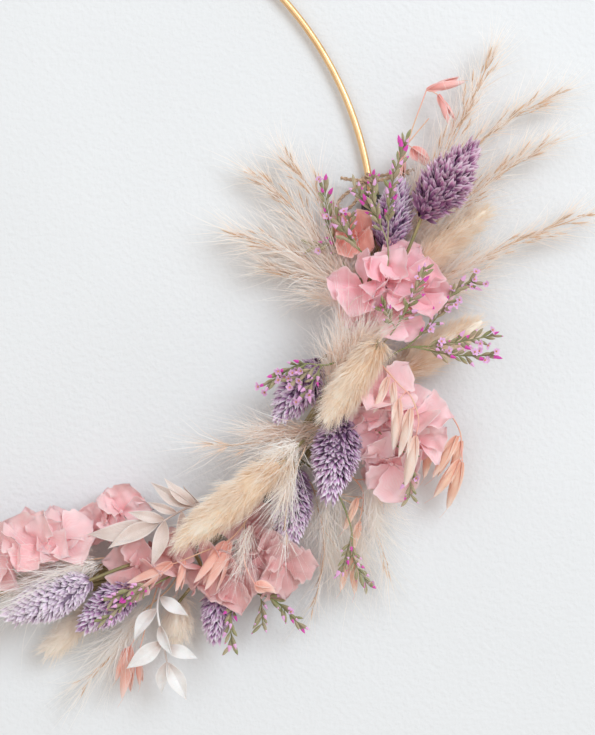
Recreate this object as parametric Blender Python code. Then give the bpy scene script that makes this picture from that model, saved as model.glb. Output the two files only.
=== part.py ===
"""A dried flower wreath: a gilt wire hoop with dried flowers bound along one side of it.

The wreath lies on its back. Lengths in the tables are millimetres from the middle of the hoop: x to
the right, y to the wreath's top and z up from the surface that it lies on. Angles are degrees round
the hoop from +x. The finished objects are in metres.
"""

import math
import random
from collections import namedtuple
from functools import partial

import bmesh
import bpy
from mathutils import Matrix, Vector
from mathutils.bvhtree import BVHTree
from mathutils.geometry import interpolate_bezier

MM = 0.001
UP = Vector((0.0, 0.0, 1.0))

# Hoop, and the sheaf of stems that is bound round it
HOOP_RADIUS = 150.0
WIRE_RADIUS = 1.5
STATION = 5.0
GAP = 0.3
TAPE = 0.6
SHEAF_WALL = 0.9
SHEAF_FLOOR = TAPE + GAP
HOOP_HEIGHT = SHEAF_FLOOR + SHEAF_WALL + GAP + WIRE_RADIUS
SHEAF_START = 7.0
SHEAF_END = -120.0
SHEAF_RADIUS = 5.5
SHEAF_END_RADIUS = 3.4
SHEAF_TAPER = 20.0
SHEAF_SIDES = 8
GROOVE = 0.7

# Bands of floral tape, from one angle to another
BANDS = ((6.2, -0.6), (-42.0, -49.0), (-112.5, -119.0))
BAND_SPANS = 3
CRINKLE = 0.12

# Twine
TWINE_RADIUS = 0.8
TWINE_TURNS = (8.35, 9.1)
KNOT = ((145.5, 20.5, 7.6), (148.5, 25.0, 7.6))
KNOT_WIDTH = 4.2
KNOT_DEPTH = 3.6
LOOP = ((146, 22, 7.8), (141, 18.5, 9.6), (136.5, 15, 10.6), (134.5, 11.5, 10.6), (137.5, 9.5, 10.6),
        (142, 13, 10.2), (146.3, 21, 8.2))
SHORT_END = ((147, 22.6, 7.8), (141.5, 22.4, 9.4), (136, 23.4, 9.0))
LONG_END = ((147, 22.8, 7.8), (155, 24.6, 9.4), (161, 25.4, 9.8), (167, 26.8, 10.0))

# Stems and stalks, and how they leave the sheaf: turns from the straight way, how far they run
# straight out as a share of the way, and shifts of the root round the hoop. Pieces that grow
# from a stalk start a little inside it
ROOT_DEPTH = 2.4
ROOT_CLEAR = 2.2
STEM_RADIUS = 0.8
BLOOM_STALK = 0.9
TWIG_SHARE = 0.8
THIN_TWIG = 0.5
THINNING = 0.35
INSIDE = 0.5
STRAIGHT_LIMITS = (35.0, 145.0)
ROOT_LIMITS = (15.0, 165.0)
SHEAF_BENDS = (0, 15, -15, 30, -30, 45, -45, 60, -60)
HANDLES = (0.4, 0.55, 0.25, 0.7)
ROOT_SHIFTS = (0.0, 0.5, -0.5, 1.0, -1.0)

# Petals and leaves
BLADE = 0.6
NOTCH = 0.58
HUB = 2.0
PEDICEL = 0.7
FLORET_SIZES = (1.0, 0.88, 0.76, 0.62)
FLORET_TURNS = (
    (0, 0, 0), (0, 0, 3), (0, 0, -3), (18, 0, 0), (18, 90, 0), (18, 180, 0), (18, 270, 0),
    (0, 0, 6), (30, 45, 2), (30, 135, 2), (30, 225, 2), (30, 315, 2), (0, 0, -6), (0, 0, 9), (0, 0, -9),
)
HUB_SHIFTS = ((0, 0, 0), (0, 0, 3), (3, 0, 0), (-3, 0, 0), (0, 3, 0), (0, -3, 0), (0, 0, -3), (4, 4, 2))
LIFTS = (0, 2, -2, 4, 6, -4)
SWINGS = (0, 2, -2, 4, -4)
LEAF_WIDTH = 0.3

# Buds and slim spikelets along a stalk: distance apart, and lean from the stalk
BUD_SPACING = 6.6
BUD_LENGTHS = (4.2, 6.0)
BUD_WIDTH = 1.9
BUD_LEANS = (38, 24, 60, 80)
BUD_START = 0.3
NEEDLE_SPACING = 7.0
NEEDLE_LENGTH = 10.5
NEEDLE_TAPER = 0.38
NEEDLE_WIDTH = 1.5
NEEDLE_DEPTH = 1.2
NEEDLE_LEANS = (24, 14, 34)
NEEDLE_START = 0.22
TWIG_START = 0.25
SPIRAL = 2.4

Head = namedtuple("Head", "root base tip radius")
Form = namedtuple("Form", "around rows lift sweep foot fullness")
Bloom = namedtuple("Bloom", "root around hub florets")
Spray = namedtuple("Spray", "root path twigs shoots")
Spot = namedtuple("Spot", "point ahead out share draw")

DIMPLE = 0.12
PHALARIS_FORM = Form(8, 8, 0.17, 0.55, 0.12, 0.7)
LAGURUS_FORM = Form(7, 7, 0.18, 0.8, 0.08, 0.62)

PHALARIS = (
    Head(-9.0, (170, 7, 31), (191, 35, 35), 9.5),
    Head(-5.0, (155, -6, 22), (161, 21, 25), 8.0),
    Head(-20.7, (126, -56, 24), (108, -80, 24), 8.0),
    Head(-24.6, (136, -78, 25), (130, -113, 32), 10.0),
    Head(-37.6, (117, -101, 22), (113, -133, 26), 8.5),
    Head(-68.0, (30, -146, 27), (-4, -161, 28), 9.0),
    Head(-61.5, (50, -147, 20), (26, -167, 22), 8.0),
    Head(-51.6, (86, -150, 15), (82, -173, 15), 7.0),
    Head(-97.0, (-29, -151, 28), (-66, -158, 30), 9.0),
)

LAGURUS = (
    Head(-15.5, (160, -21, 12), (201, 12, 14), 7.5),
    Head(-12.9, (149, -50, 35), (127, -82, 41), 8.0),
    Head(-35.0, (110, -97, 35), (64, -133, 38), 8.5),
    Head(-23.3, (162, -58, 12), (198, -36, 14), 7.5),
    Head(-70.0, (28, -162, 10), (9, -181, 10), 5.0),
    Head(-58.0, (67, -158, 11), (66, -176, 11), 6.0),
    Head(-103.0, (-44, -152, 12), (-86, -148, 11), 7.0),
)

# Each floret: middle x, y, z, reach of its petals, direction of one petal
HYDRANGEA = (
    Bloom(-13.5, 30, (157, -30, 19), (
        (145, -24, 27, 14, 153), (154, -22, 30, 13, 148), (161, -16, 25, 13, 54),
        (168, -26, 25, 14, 0), (160, -35, 27, 13, -45),
    )),
    Bloom(-26.5, 35, (158, -82, 14), (
        (154, -67, 28, 13, 56), (165, -77, 26, 14, 6), (151, -84, 24, 13, 131),
        (157, -97, 22, 14, -138), (168, -88, 22, 13, -45),
    )),
    Bloom(-54.0, 45, (100, -129, 15), (
        (103, -134, 25, 13, -90), (112, -139, 22, 14, -72), (91, -145, 25, 13, -90),
        (79, -141, 24, 13, -127), (97, -122, 20, 13, 113),
    )),
    Bloom(-84.0, 80, (10, -138, 13), (
        (10, -131, 25, 14, 66), (-3, -136, 22, 14, 128), (19, -129, 20, 14, 34),
    )),
    Bloom(-71.0, 140, (42, -126, 9), ((43, -118, 13, 12, 79), (36, -123, 12, 10, 158))),
    Bloom(-74.5, 60, (54, -142, 13), ((51, -140, 24, 13, 170), (64, -136, 20, 12, 54))),
    Bloom(-2.4, 130, (143, -6, 12), ((142, -1, 17, 11, 135),)),
    Bloom(-105.0, 80, (-42, -140, 13), (
        (-41, -137, 25, 14, 100), (-54, -132, 21, 14, 150), (-34, -126, 20, 13, 60),
    )),
)

# Oats: a stalk, thin twigs, and spikelets from base to tip
OATS = (
    Spray(-14.2, ((157, -10, 13), (160, 14, 12), (164, 37, 14), (172, 60, 15)),
          (((164, 37, 14), (173, 48, 14)),),
          (((172, 60, 15), (188, 64, 15)), ((177, 58, 15), (183, 45, 15)),
           ((162, 36, 12), (161, 22, 11)), ((166, 36, 12), (174, 28, 11)))),
    Spray(-22.0, ((151, -55, 30), (159, -64, 38), (164, -69, 39), (167, -78, 40), (166, -85, 40)), (),
          (((155, -61, 37), (149, -76, 35)), ((157, -63, 38), (157, -77, 38)),
           ((159, -70, 40), (157, -91, 38)), ((164, -74, 41), (160, -94, 40)),
           ((166, -85, 40), (162, -106, 37)))),
    Spray(-27.2, ((158, -67, 18), (171, -71, 18), (180, -75, 17), (186, -84, 15), (187, -96, 15)),
          (((171, -71, 18), (175, -80, 18)),),
          (((175, -80, 18), (176, -98, 17)), ((174, -86, 17), (171, -104, 15)),
           ((185, -86, 15), (175, -104, 14)), ((187, -88, 14), (182, -103, 12)),
           ((186, -96, 15), (175, -112, 14)), ((187, -97, 15), (181, -117, 12)))),
    Spray(-32.4, ((138, -100, 14), (145, -109, 14), (144, -121, 14), (140, -137, 14)),
          (((142, -104, 14), (150, -104, 14)),),
          (((149, -104, 14), (154, -116, 12)), ((151, -104, 12), (159, -114, 11)),
           ((143, -112, 17), (137, -126, 17)), ((144, -122, 14), (140, -136, 14)),
           ((139, -137, 12), (136, -152, 11)), ((141, -137, 14), (142, -153, 12)))),
    Spray(-50.3, ((98, -118, 24), (90, -128, 29), (77, -134, 29), (67, -138, 30)),
          (((97, -121, 27), (99, -139, 30), (101, -146, 28)),),
          (((66, -138, 30), (48, -148, 31)), ((88, -129, 30), (76, -147, 32)),
           ((90, -129, 30), (81, -150, 33)), ((71, -137, 30), (68, -150, 30)),
           ((101, -146, 28), (109, -148, 26)))),
    Spray(-66.5, ((60, -144, 14), (55, -160, 12), (47, -175, 12)),
          (((55, -160, 12), (52, -172, 11), (50, -179, 10)),),
          (((47, -175, 12), (44, -197, 9)), ((50, -179, 10), (51, -192, 8)),
           ((45, -176, 11), (41, -190, 8)))),
    Spray(-110.0, ((-61, -139, 18), (-71, -137, 20), (-81, -135, 18)), (),
          (((-71, -137, 20), (-88, -127, 18)), ((-81, -135, 18), (-101, -134, 15)),
           ((-70, -138, 18), (-85, -146, 17)))),
)

# Ruscus: shoots are leaves from base to tip
RUSCUS = (
    Spray(-55.3, ((88, -117, 20), (74, -115, 23), (60, -122, 25)), (),
          (((74, -114, 24), (56, -105, 21)), ((69, -119, 25), (55, -113, 24)),
           ((63, -121, 25), (47, -117, 27)), ((60, -122, 25), (30, -127, 23)),
           ((61, -123, 25), (39, -132, 29)), ((64, -122, 25), (57, -140, 31)),
           ((78, -114, 22), (70, -106, 21)))),
    Spray(-60.0, ((62, -146, 17), (59, -157, 21), (61, -169, 22), (63, -180, 21)), (),
          (((59, -158, 22), (49, -171, 22)), ((61, -171, 22), (46, -183, 22)),
           ((60, -165, 22), (66, -177, 25)), ((62, -174, 22), (76, -179, 20)),
           ((63, -180, 21), (71, -197, 18)), ((63, -180, 21), (61, -194, 18)),
           ((61, -153, 20), (72, -161, 20)))),
    Spray(-107.0, ((-51, -130, 17), (-63, -124, 18), (-73, -118, 17)), (),
          (((-53, -129, 17), (-55, -112, 18)), ((-59, -127, 18), (-75, -134, 21)),
           ((-65, -123, 18), (-67, -106, 17)), ((-68, -121, 17), (-85, -124, 18)),
           ((-73, -118, 17), (-88, -106, 14)))),
)

# Statice: buds stand along the stalk and its twigs
STATICE = (
    Spray(-6.4, ((142, -20, 18), (136, -12, 18), (131, 2, 18), (129, 17, 18)),
          (((133, -4, 18), (125, -6, 18)),), ()),
    Spray(-10.3, ((147, -13, 25), (139, -3, 25), (134, 5, 23)), (((140, -4, 25), (139, 6, 25)),), ()),
    Spray(-16.8, ((155, -9, 32), (150, 6, 35), (148, 21, 35)),
          (((154, -6, 32), (156, 16, 35), (162, 36, 32)), ((151, 3, 35), (142, 15, 32))), ()),
    Spray(-25.9, ((154, -46, 30), (162, -34, 35), (170, -16, 35)),
          (((157, -41, 32), (153, -32, 35)),), ()),
    Spray(-28.5, ((160, -50, 28), (176, -48, 28), (198, -44, 26)),
          (((163, -49, 28), (174, -38, 28), (183, -25, 27), (189, -22, 27)),
           ((166, -50, 28), (183, -52, 27), (198, -52, 25))), ()),
    Spray(-19.4, ((130, -56, 33), (118, -56, 32), (105, -64, 30)),
          (((128, -56, 33), (122, -66, 34)), ((126, -56, 33), (115, -63, 33))), ()),
    Spray(-29.8, ((157, -88, 28), (164, -96, 29), (164, -111, 28)), (), ()),
    Spray(-52.9, ((97, -150, 18), (108, -155, 17), (119, -166, 15)),
          (((103, -152, 18), (103, -166, 15)), ((97, -150, 18), (90, -159, 21), (90, -172, 20))), ()),
    Spray(-65.0, ((66, -143, 25), (51, -151, 30), (37, -162, 30)),
          (((59, -146, 28), (51, -148, 32), (40, -153, 32)),), ()),
    Spray(-38.9, ((140, -124, 20), (141, -137, 18), (146, -147, 15)),
          (((140, -126, 20), (136, -143, 19)),), ()),
)

# Feathery grass: slim spikelets all along, out to the tips
PLUMES = (
    Spray(-3.6, ((166, 6, 13), (174, 22, 14), (184, 40, 15), (199, 73, 14)), (), ()),
    Spray(-2.2, ((168, 8, 9), (184, 27, 13), (200, 43, 13), (226, 58, 12)), (), ()),
    Spray(-7.7, ((168, -2, 11), (187, 13, 12), (203, 24, 13), (221, 36, 12)), (), ()),
    Spray(-18.1, ((162, -29, 11), (182, -18, 12), (207, -5, 12), (236, 6, 11)), (), ()),
    Spray(-11.6, ((138, -22, 12), (119, 7, 12), (101, 24, 11)),
          (((135, -18, 12), (114, -7, 11), (94, -2, 9)), ((138, -22, 12), (123, -20, 11), (108, -16, 9)),
           ((136, -19, 13), (127, 12, 13), (114, 29, 12))), ()),
    Spray(-31.1, ((127, -81, 20), (110, -87, 22), (86, -90, 21)),
          (((134, -82, 17), (134, -60, 24), (137, -38, 27)),), ()),
    Spray(-36.3, ((120, -92, 32), (115, -104, 36), (112, -124, 38)), (), ()),
    Spray(-40.2, ((126, -115, 15), (129, -134, 14), (125, -157, 11)),
          (((128, -108, 14), (146, -118, 12), (156, -141, 10)),), ()),
    Spray(-76.5, ((36, -137, 18), (18, -141, 20), (-10, -154, 20)),
          (((28, -139, 18), (12, -147, 17), (-10, -148, 15)),), ()),
    Spray(-63.5, ((52, -161, 9), (43, -174, 9), (26, -194, 8)), (), ()),
)

STALK_RADII = {"oats": 0.55, "ruscus": 0.7, "statice": 0.55, "plume": 0.65}
COLOURS = {
    "hoop": (0.62, 0.40, 0.13), "sheaf": (0.42, 0.36, 0.20), "tape": (0.015, 0.014, 0.014),
    "twine": (0.40, 0.28, 0.17), "phalaris": (0.30, 0.19, 0.42), "lagurus": (0.72, 0.58, 0.41),
    "hydrangea": (0.80, 0.42, 0.40), "oats": (0.78, 0.42, 0.30), "ruscus": (0.75, 0.69, 0.64),
    "statice": (0.30, 0.26, 0.12), "plume": (0.62, 0.47, 0.34),
}


def at(point):
    return Vector(point) * MM


def round_hoop(angle, radius, height):
    """The point at this angle and distance from the hoop's middle."""
    turn = math.radians(angle)
    return at((radius * math.cos(turn), radius * math.sin(turn), height))


def sheaf_radius(angle):
    """Full along the middle and drawn in towards both ends."""
    inset = min(SHEAF_START - angle, angle - SHEAF_END) / SHEAF_TAPER
    share = math.sin(min(1.0, max(0.0, inset)) * math.pi / 2)
    return SHEAF_END_RADIUS + (SHEAF_RADIUS - SHEAF_END_RADIUS) * share


def sheaf_outward(angle, around):
    """Direction from the sheaf's middle: 0 is away from the hoop's middle and 90 is up."""
    turn = math.radians(angle)
    lean = math.radians(around)
    level = Vector((math.cos(turn), math.sin(turn), 0.0))
    return level * math.cos(lean) + UP * math.sin(lean)


def sheaf_point(angle, around, grow=0.0):
    radius = sheaf_radius(angle)
    middle = round_hoop(angle, HOOP_RADIUS, SHEAF_FLOOR + radius)
    return middle + sheaf_outward(angle, around) * (radius + grow) * MM


def side_angles():
    """Corners of a section with a flat side at its foot."""
    step = 360.0 / SHEAF_SIDES
    return [step * (k + 0.5) for k in range(SHEAF_SIDES)]


def wire_section(angle, radius):
    middle = round_hoop(angle, HOOP_RADIUS, HOOP_HEIGHT)
    corner = radius / math.cos(math.pi / SHEAF_SIDES) * MM
    return [middle + sheaf_outward(angle, around) * corner for around in side_angles()]


def sheaf_section(angle):
    """Every other corner of the upper side is drawn in, like the grooves between stems."""
    points = []
    for k, around in enumerate(side_angles()):
        groove = -GROOVE if k % 2 and around < 180 else 0.0
        points.append(sheaf_point(angle, around, groove))
    return points


def band_section(angle, grow):
    return [sheaf_point(angle, around, grow) for around in side_angles()]


def spread(first, last, spans):
    return [first + (last - first) * i / spans for i in range(spans + 1)]


def ring_loft(rings):
    """A closed mesh through rings that run out along one surface and back along another."""
    bm = bmesh.new()
    loops = [[bm.verts.new(point) for point in ring] for ring in rings]
    for first, second in zip(loops, loops[1:] + loops[:1]):
        for i in range(len(first)):
            j = (i + 1) % len(first)
            bm.faces.new((first[i], first[j], second[j], second[i]))
    bmesh.ops.recalc_face_normals(bm, faces=bm.faces[:])
    return bm


def smooth(points, spans):
    """Points along a curve that passes through each of the given ones."""
    if len(points) < 3:
        return list(points)
    ends = [points[0] * 2 - points[1]] + list(points) + [points[-1] * 2 - points[-2]]
    curve = []
    for before, first, second, after in zip(ends, ends[1:], ends[2:], ends[3:]):
        for i in range(spans):
            t = i / spans
            curve.append(0.5 * (
                first * 2 + (second - before) * t
                + (before * 2 - first * 5 + second * 4 - after) * t ** 2
                + (first * 3 - before - second * 3 + after) * t ** 3
            ))
    return curve + [points[-1]]


def along(base, tip, width, depth, facing=UP):
    """Maps a unit shape on z from 0 to 1 to one from base to tip, its y side turned to facing."""
    axis = tip - base
    across = facing.cross(axis)
    if across.length < 1e-9:
        across = Vector((1.0, 0.0, 0.0)).cross(axis)
    across.normalize()
    front = axis.normalized().cross(across)
    columns = (across * width, front * depth, axis)
    turn = Matrix([[column[row] for column in columns] for row in range(3)]).to_4x4()
    return Matrix.Translation(base) @ turn


def tube(points, radii, sides):
    """The mesh of a stalk: a bevelled curve with its caps welded on."""
    curve = bpy.data.curves.new("stalk", "CURVE")
    curve.dimensions = "3D"
    curve.bevel_depth = 1.0
    curve.bevel_resolution = (sides - 4) // 2
    curve.use_fill_caps = True
    spline = curve.splines.new("POLY")
    spline.points.add(len(points) - 1)
    for corner, point, radius in zip(spline.points, points, radii):
        corner.co = (*point, 1.0)
        corner.radius = radius * MM
    guide = bpy.data.objects.new("stalk", curve)
    bpy.context.scene.collection.objects.link(guide)
    graph = bpy.context.evaluated_depsgraph_get()
    mesh = bpy.data.meshes.new_from_object(guide.evaluated_get(graph))
    bm = bmesh.new()
    bm.from_mesh(mesh)
    bmesh.ops.remove_doubles(bm, verts=bm.verts[:], dist=1e-6)
    bmesh.ops.recalc_face_normals(bm, faces=bm.faces[:])
    bpy.data.objects.remove(guide)
    bpy.data.curves.remove(curve)
    bpy.data.meshes.remove(mesh)
    return bm


def stalk(points, radius, sides=4):
    """A stalk that thins towards its tip."""
    last = len(points) - 1
    return tube(points, [radius * (1 - THINNING * i / last) for i in range(last + 1)], sides)


def rod(start, end, radius):
    """A short three-sided twig."""
    bm = bmesh.new()
    bmesh.ops.create_cone(bm, cap_ends=True, segments=3, radius1=1.0, radius2=0.8, depth=1.0,
                          matrix=Matrix.Translation((0, 0, 0.5)))
    bmesh.ops.transform(bm, matrix=along(start, end, radius * MM, radius * MM), verts=bm.verts[:])
    return bm


def spindle(base, tip, width, depth, sides=3, rows=2, fat=0.45, facing=UP):
    """A slim body, widest at the share fat of its length."""
    bm = bmesh.new()
    bmesh.ops.create_uvsphere(bm, u_segments=sides, v_segments=rows, radius=1.0,
                              matrix=Matrix.Translation((0, 0, 1)))
    for vert in bm.verts:
        share = vert.co.z / 2
        vert.co.z = share ** (math.log(fat) / math.log(0.5)) if share > 0 else 0.0
    shape = along(base, tip, width * MM / 2, depth * MM / 2, facing)
    bmesh.ops.transform(bm, matrix=shape, verts=bm.verts[:])
    return bm


def thicken(bm):
    """Makes a waved sheet a blade whose two faces are split alike."""
    bmesh.ops.triangulate(bm, faces=bm.faces[:])
    bm.normal_update()
    bmesh.ops.solidify(bm, geom=bm.faces[:], thickness=BLADE * MM)
    bmesh.ops.recalc_face_normals(bm, faces=bm.faces[:])
    return bm


def leaf(base, tip, width, arch=0.1, facing=UP):
    """An arched, keeled blade with a point at each end."""
    bm = bmesh.new()
    bmesh.ops.create_grid(bm, x_segments=2, y_segments=4, size=0.5, matrix=Matrix.Translation((0, 0.5, 0)))
    for vert in bm.verts:
        share = min(1.0, max(0.0, vert.co.y))
        side = vert.co.x * 2
        half = math.sin(math.pi * share ** 0.85) ** 0.85 if 0.01 < share < 0.99 else 0.0
        vert.co = (side * half, arch * math.sin(math.pi * share) + 0.04 * abs(side) * half, share)
    bmesh.ops.remove_doubles(bm, verts=bm.verts[:], dist=1e-4)
    length = (tip - base).length
    bmesh.ops.transform(bm, matrix=along(base, tip, width * MM / 2, length, facing), verts=bm.verts[:])
    return thicken(bm)


def floret(middle, facing, spin, reach, draw):
    """Four broad, blunt petals in one waved sheet, cupped towards facing, and where its stalk meets it."""
    bm = bmesh.new()
    bmesh.ops.create_circle(bm, cap_ends=True, cap_tris=True, segments=12, radius=1.0)
    lift = [draw.uniform(0.05, 0.4) for _ in range(4)]
    twist = [draw.uniform(-0.16, 0.16) for _ in range(4)]
    for vert in bm.verts:
        if vert.co.length < 0.5:
            continue
        step = round(math.atan2(vert.co.y, vert.co.x) / (math.pi / 6) + 1.5 - 1e-3) % 12
        petal, place = divmod(step, 3)
        share = (NOTCH, 1.0, 1.0)[place]
        height = (0.12, lift[petal] + twist[petal], lift[petal] - twist[petal])[place]
        vert.co = (vert.co.x * share, vert.co.y * share, height)
    turn = facing.to_track_quat("Z", "Y").to_matrix().to_4x4()
    scale = Matrix.Scale(reach * MM, 4)
    spun = Matrix.Rotation(spin - math.pi / 12, 4, "Z")
    bmesh.ops.transform(bm, matrix=Matrix.Translation(middle) @ turn @ spun @ scale, verts=bm.verts[:])
    bm.normal_update()
    broad = max(bm.faces, key=lambda face: face.calc_area())
    seat = middle.lerp(broad.calc_center_median(), 0.4) - broad.normal * BLADE / 2 * MM
    return thicken(bm), seat


def belly(share, form):
    """A head's width at a share of its length, for a largest width of 1."""
    return math.sin(math.pi * (form.foot + (1 - form.foot) * share) ** 0.9) ** form.fullness


def scaled_head(head, form):
    """An egg-shaped flower head whose faces are raised to scales that point to its tip."""
    bm = bmesh.new()
    bmesh.ops.create_uvsphere(bm, u_segments=form.around, v_segments=form.rows, radius=1.0)
    length = (at(head.tip) - at(head.base)).length
    radius = head.radius * MM
    for vert in bm.verts:
        row = form.rows - round(math.acos(max(-1.0, min(1.0, vert.co.z))) / math.pi * form.rows)
        if row == 0:
            vert.co = (0.0, 0.0, length * DIMPLE)
            continue
        share = (row - 1) / (form.rows - 1)
        turn = math.atan2(vert.co.y, vert.co.x) + row % 2 * math.pi / form.around
        reach = radius * belly(share, form) if row < form.rows else 0.0
        vert.co = (reach * math.cos(turn), reach * math.sin(turn), length * share)
    raised = [face for face in bm.faces if len(face.verts) == 4]
    step = length / (form.rows - 1)
    for vert in bmesh.ops.poke(bm, faces=raised)["verts"]:
        out = Vector((vert.co.x, vert.co.y, 0.0)).normalized()
        vert.co += out * radius * form.lift + UP * step * form.sweep
    turn = (at(head.tip) - at(head.base)).to_track_quat("Z", "Y").to_matrix().to_4x4()
    bmesh.ops.transform(bm, matrix=Matrix.Translation(at(head.base)) @ turn, verts=bm.verts[:])
    bmesh.ops.recalc_face_normals(bm, faces=bm.faces[:])
    return bm


class Room:
    """The shapes that have a place, to ask whether another one would cross them."""

    def __init__(self):
        self.solids = {}

    def put(self, owner, bm):
        low, high = corners(bm)
        self.solids[owner] = (low, high, BVHTree.FromBMesh(bm))

    def near(self, low, high, owner):
        for name, (least, most, tree) in self.solids.items():
            if name != owner and all(low[i] < most[i] and high[i] > least[i] for i in range(3)):
                yield name, tree

    def takes(self, piece, owner):
        """Whether the piece, grown by the gap, crosses none of the others."""
        grown = piece.copy()
        grown.normal_update()
        for vert in grown.verts:
            vert.co += vert.normal * GAP * 1.2 * MM
        low, high = corners(grown)
        tree = BVHTree.FromBMesh(grown)
        grown.free()
        return not any(tree.overlap(other) for _, other in self.near(low, high, owner))

    def passes(self, points, radius, owner, socket):
        """Whether a stalk along these points is clear, but for the sheaf where it stands in it."""
        reach = (radius + GAP) * MM
        for first, second in zip(points, points[1:]):
            steps = max(1, math.ceil((second - first).length / (0.8 * MM)))
            for i in range(1, steps + 1):
                spot = first.lerp(second, i / steps)
                margin = Vector((reach, reach, reach))
                for name, tree in self.near(spot - margin, spot + margin, owner):
                    if name == "bound_stems" and (spot - socket).length < ROOT_CLEAR * MM:
                        continue
                    if tree.find_nearest(spot, reach)[0] is not None:
                        return False
        return True


def corners(bm):
    points = [vert.co for vert in bm.verts]
    low = Vector([min(point[i] for point in points) for i in range(3)])
    high = Vector([max(point[i] for point in points) for i in range(3)])
    return low, high


def as_mesh(name, bm):
    mesh = bpy.data.meshes.new(name)
    bm.to_mesh(mesh)
    bm.free()
    return mesh


def is_closed(mesh):
    bm = bmesh.new()
    bm.from_mesh(mesh)
    closed = len(bm.faces) > 0 and all(edge.is_manifold for edge in bm.edges)
    bm.free()
    return closed


def largest_body(mesh):
    """The mesh without the loose scraps that a union can leave."""
    bm = bmesh.new()
    bm.from_mesh(mesh)
    left = set(bm.verts)
    bodies = []
    while left:
        found = {left.pop()}
        fresh = list(found)
        while fresh:
            vert = fresh.pop()
            others = {edge.other_vert(vert) for edge in vert.link_edges} - found
            found |= others
            fresh.extend(others)
        left -= found
        bodies.append(found)
    keep = max(bodies, key=len)
    bmesh.ops.delete(bm, geom=[vert for vert in bm.verts if vert not in keep], context="VERTS")
    return bm


def joined(name, body, pieces, operation="UNION"):
    """The body with all the pieces joined to it, or cut from it, by one Boolean."""
    base = bpy.data.objects.new(name, as_mesh(name, body))
    bpy.context.scene.collection.objects.link(base)
    holder = bpy.data.collections.new(name + "_pieces")
    bpy.context.scene.collection.children.link(holder)
    for piece in pieces:
        holder.objects.link(bpy.data.objects.new(name + "_piece", as_mesh(name, piece)))
    boolean = base.modifiers.new("join", "BOOLEAN")
    boolean.operation = operation
    boolean.operand_type = "COLLECTION"
    boolean.collection = holder
    boolean.use_self = operation == "UNION"
    for solver in ("EXACT", "MANIFOLD"):
        boolean.solver = solver
        graph = bpy.context.evaluated_depsgraph_get()
        result = bpy.data.meshes.new_from_object(base.evaluated_get(graph))
        if is_closed(result):
            break
    for piece in list(holder.objects):
        bpy.data.objects.remove(piece)
    bpy.data.collections.remove(holder)
    bpy.data.objects.remove(base)
    return largest_body(result)


def finish(name, bm, kind, parts, root, crease=40.0):
    """Makes the shape an object of the wreath, with its material."""
    mesh = as_mesh(name, bm)
    mesh.shade_smooth()
    mesh.set_sharp_from_angle(angle=math.radians(crease))
    mesh.materials.append(material(kind))
    part = bpy.data.objects.new(name, mesh)
    part.parent = root
    parts.objects.link(part)
    return part


def material(kind):
    found = bpy.data.materials.get(kind)
    if found:
        return found
    made = bpy.data.materials.new(kind)
    made.use_nodes = True
    shader = made.node_tree.nodes["Principled BSDF"]
    shader.inputs["Base Color"].default_value = (*COLOURS[kind], 1.0)
    shader.inputs["Roughness"].default_value = 0.3 if kind == "hoop" else 0.85
    shader.inputs["Metallic"].default_value = 1.0 if kind == "hoop" else 0.0
    return made


def make_hoop():
    bpy.ops.mesh.primitive_torus_add(
        major_segments=round(360 / STATION), minor_segments=8, major_radius=HOOP_RADIUS * MM,
        minor_radius=WIRE_RADIUS * MM, location=(0.0, 0.0, HOOP_HEIGHT * MM))
    torus = bpy.context.object
    bm = bmesh.new()
    bm.from_mesh(torus.data)
    bmesh.ops.translate(bm, vec=torus.location, verts=bm.verts[:])
    bpy.data.objects.remove(torus)
    return bm


def make_sheaf():
    """The sheaf of stems, with the bore that the wire runs through."""
    angles = spread(SHEAF_START, SHEAF_END, round((SHEAF_START - SHEAF_END) / STATION))
    outside = [sheaf_section(angle) for angle in angles]
    bore = [wire_section(angle, WIRE_RADIUS + GAP) for angle in reversed(angles)]
    return ring_loft(outside + bore)


def make_band(first, last):
    """A wrap of floral tape, flat where the wreath rests on it."""
    angles = spread(first, last, BAND_SPANS)
    outside = [band_section(angle, GAP + TAPE + CRINKLE * (i % 2)) for i, angle in enumerate(angles)]
    for ring in outside:
        foot = sorted(ring, key=lambda point: point.z)[:2]
        for point in foot:
            point.z = 0.0
    inside = [band_section(angle, GAP) for angle in reversed(angles)]
    return ring_loft(outside + inside)


def make_twine():
    """Two turns round the wire, a knot on top of them, a loop and two loose ends."""
    turns = []
    for angle in TWINE_TURNS:
        middle = round_hoop(angle, HOOP_RADIUS, HOOP_HEIGHT)
        reach = (WIRE_RADIUS + GAP + TWINE_RADIUS) * MM
        ring = [middle + sheaf_outward(angle, around) * reach for around in range(0, 360, 45)]
        turns.append(ring_tube(ring))
    knot = spindle(at(KNOT[0]), at(KNOT[1]), KNOT_WIDTH, KNOT_DEPTH, sides=6, rows=4, fat=0.5)
    strands = []
    for strand in (LOOP, SHORT_END, LONG_END):
        points = smooth([at(point) for point in strand], 2)
        strands.append(tube(points, [TWINE_RADIUS] * len(points), 4))
    return joined("twine_bow", knot, turns + strands)


def ring_tube(points):
    """A closed, five-sided ring of twine through the points."""
    middle = sum(points, Vector()) / len(points)
    axis = (points[1] - points[0]).cross(points[2] - points[1]).normalized()
    turns = [k * math.tau / 5 for k in range(5)]
    rings = []
    for point in points:
        out = (point - middle).normalized()
        rings.append([point + (out * math.cos(a) + axis * math.sin(a)) * TWINE_RADIUS * MM for a in turns])
    return ring_loft(rings)


def lead_in(root, around, handle, target, aim, spans=2):
    """Points from inside the sheaf to where a stalk comes into sight."""
    out = sheaf_outward(root, around)
    surface = sheaf_point(root, around)
    reach = (target - surface).length * handle
    curve = interpolate_bezier(surface, surface + out * reach, target - aim * reach, target, spans + 1)
    return [surface - out * ROOT_DEPTH * MM] + [Vector(point) for point in curve]


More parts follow.
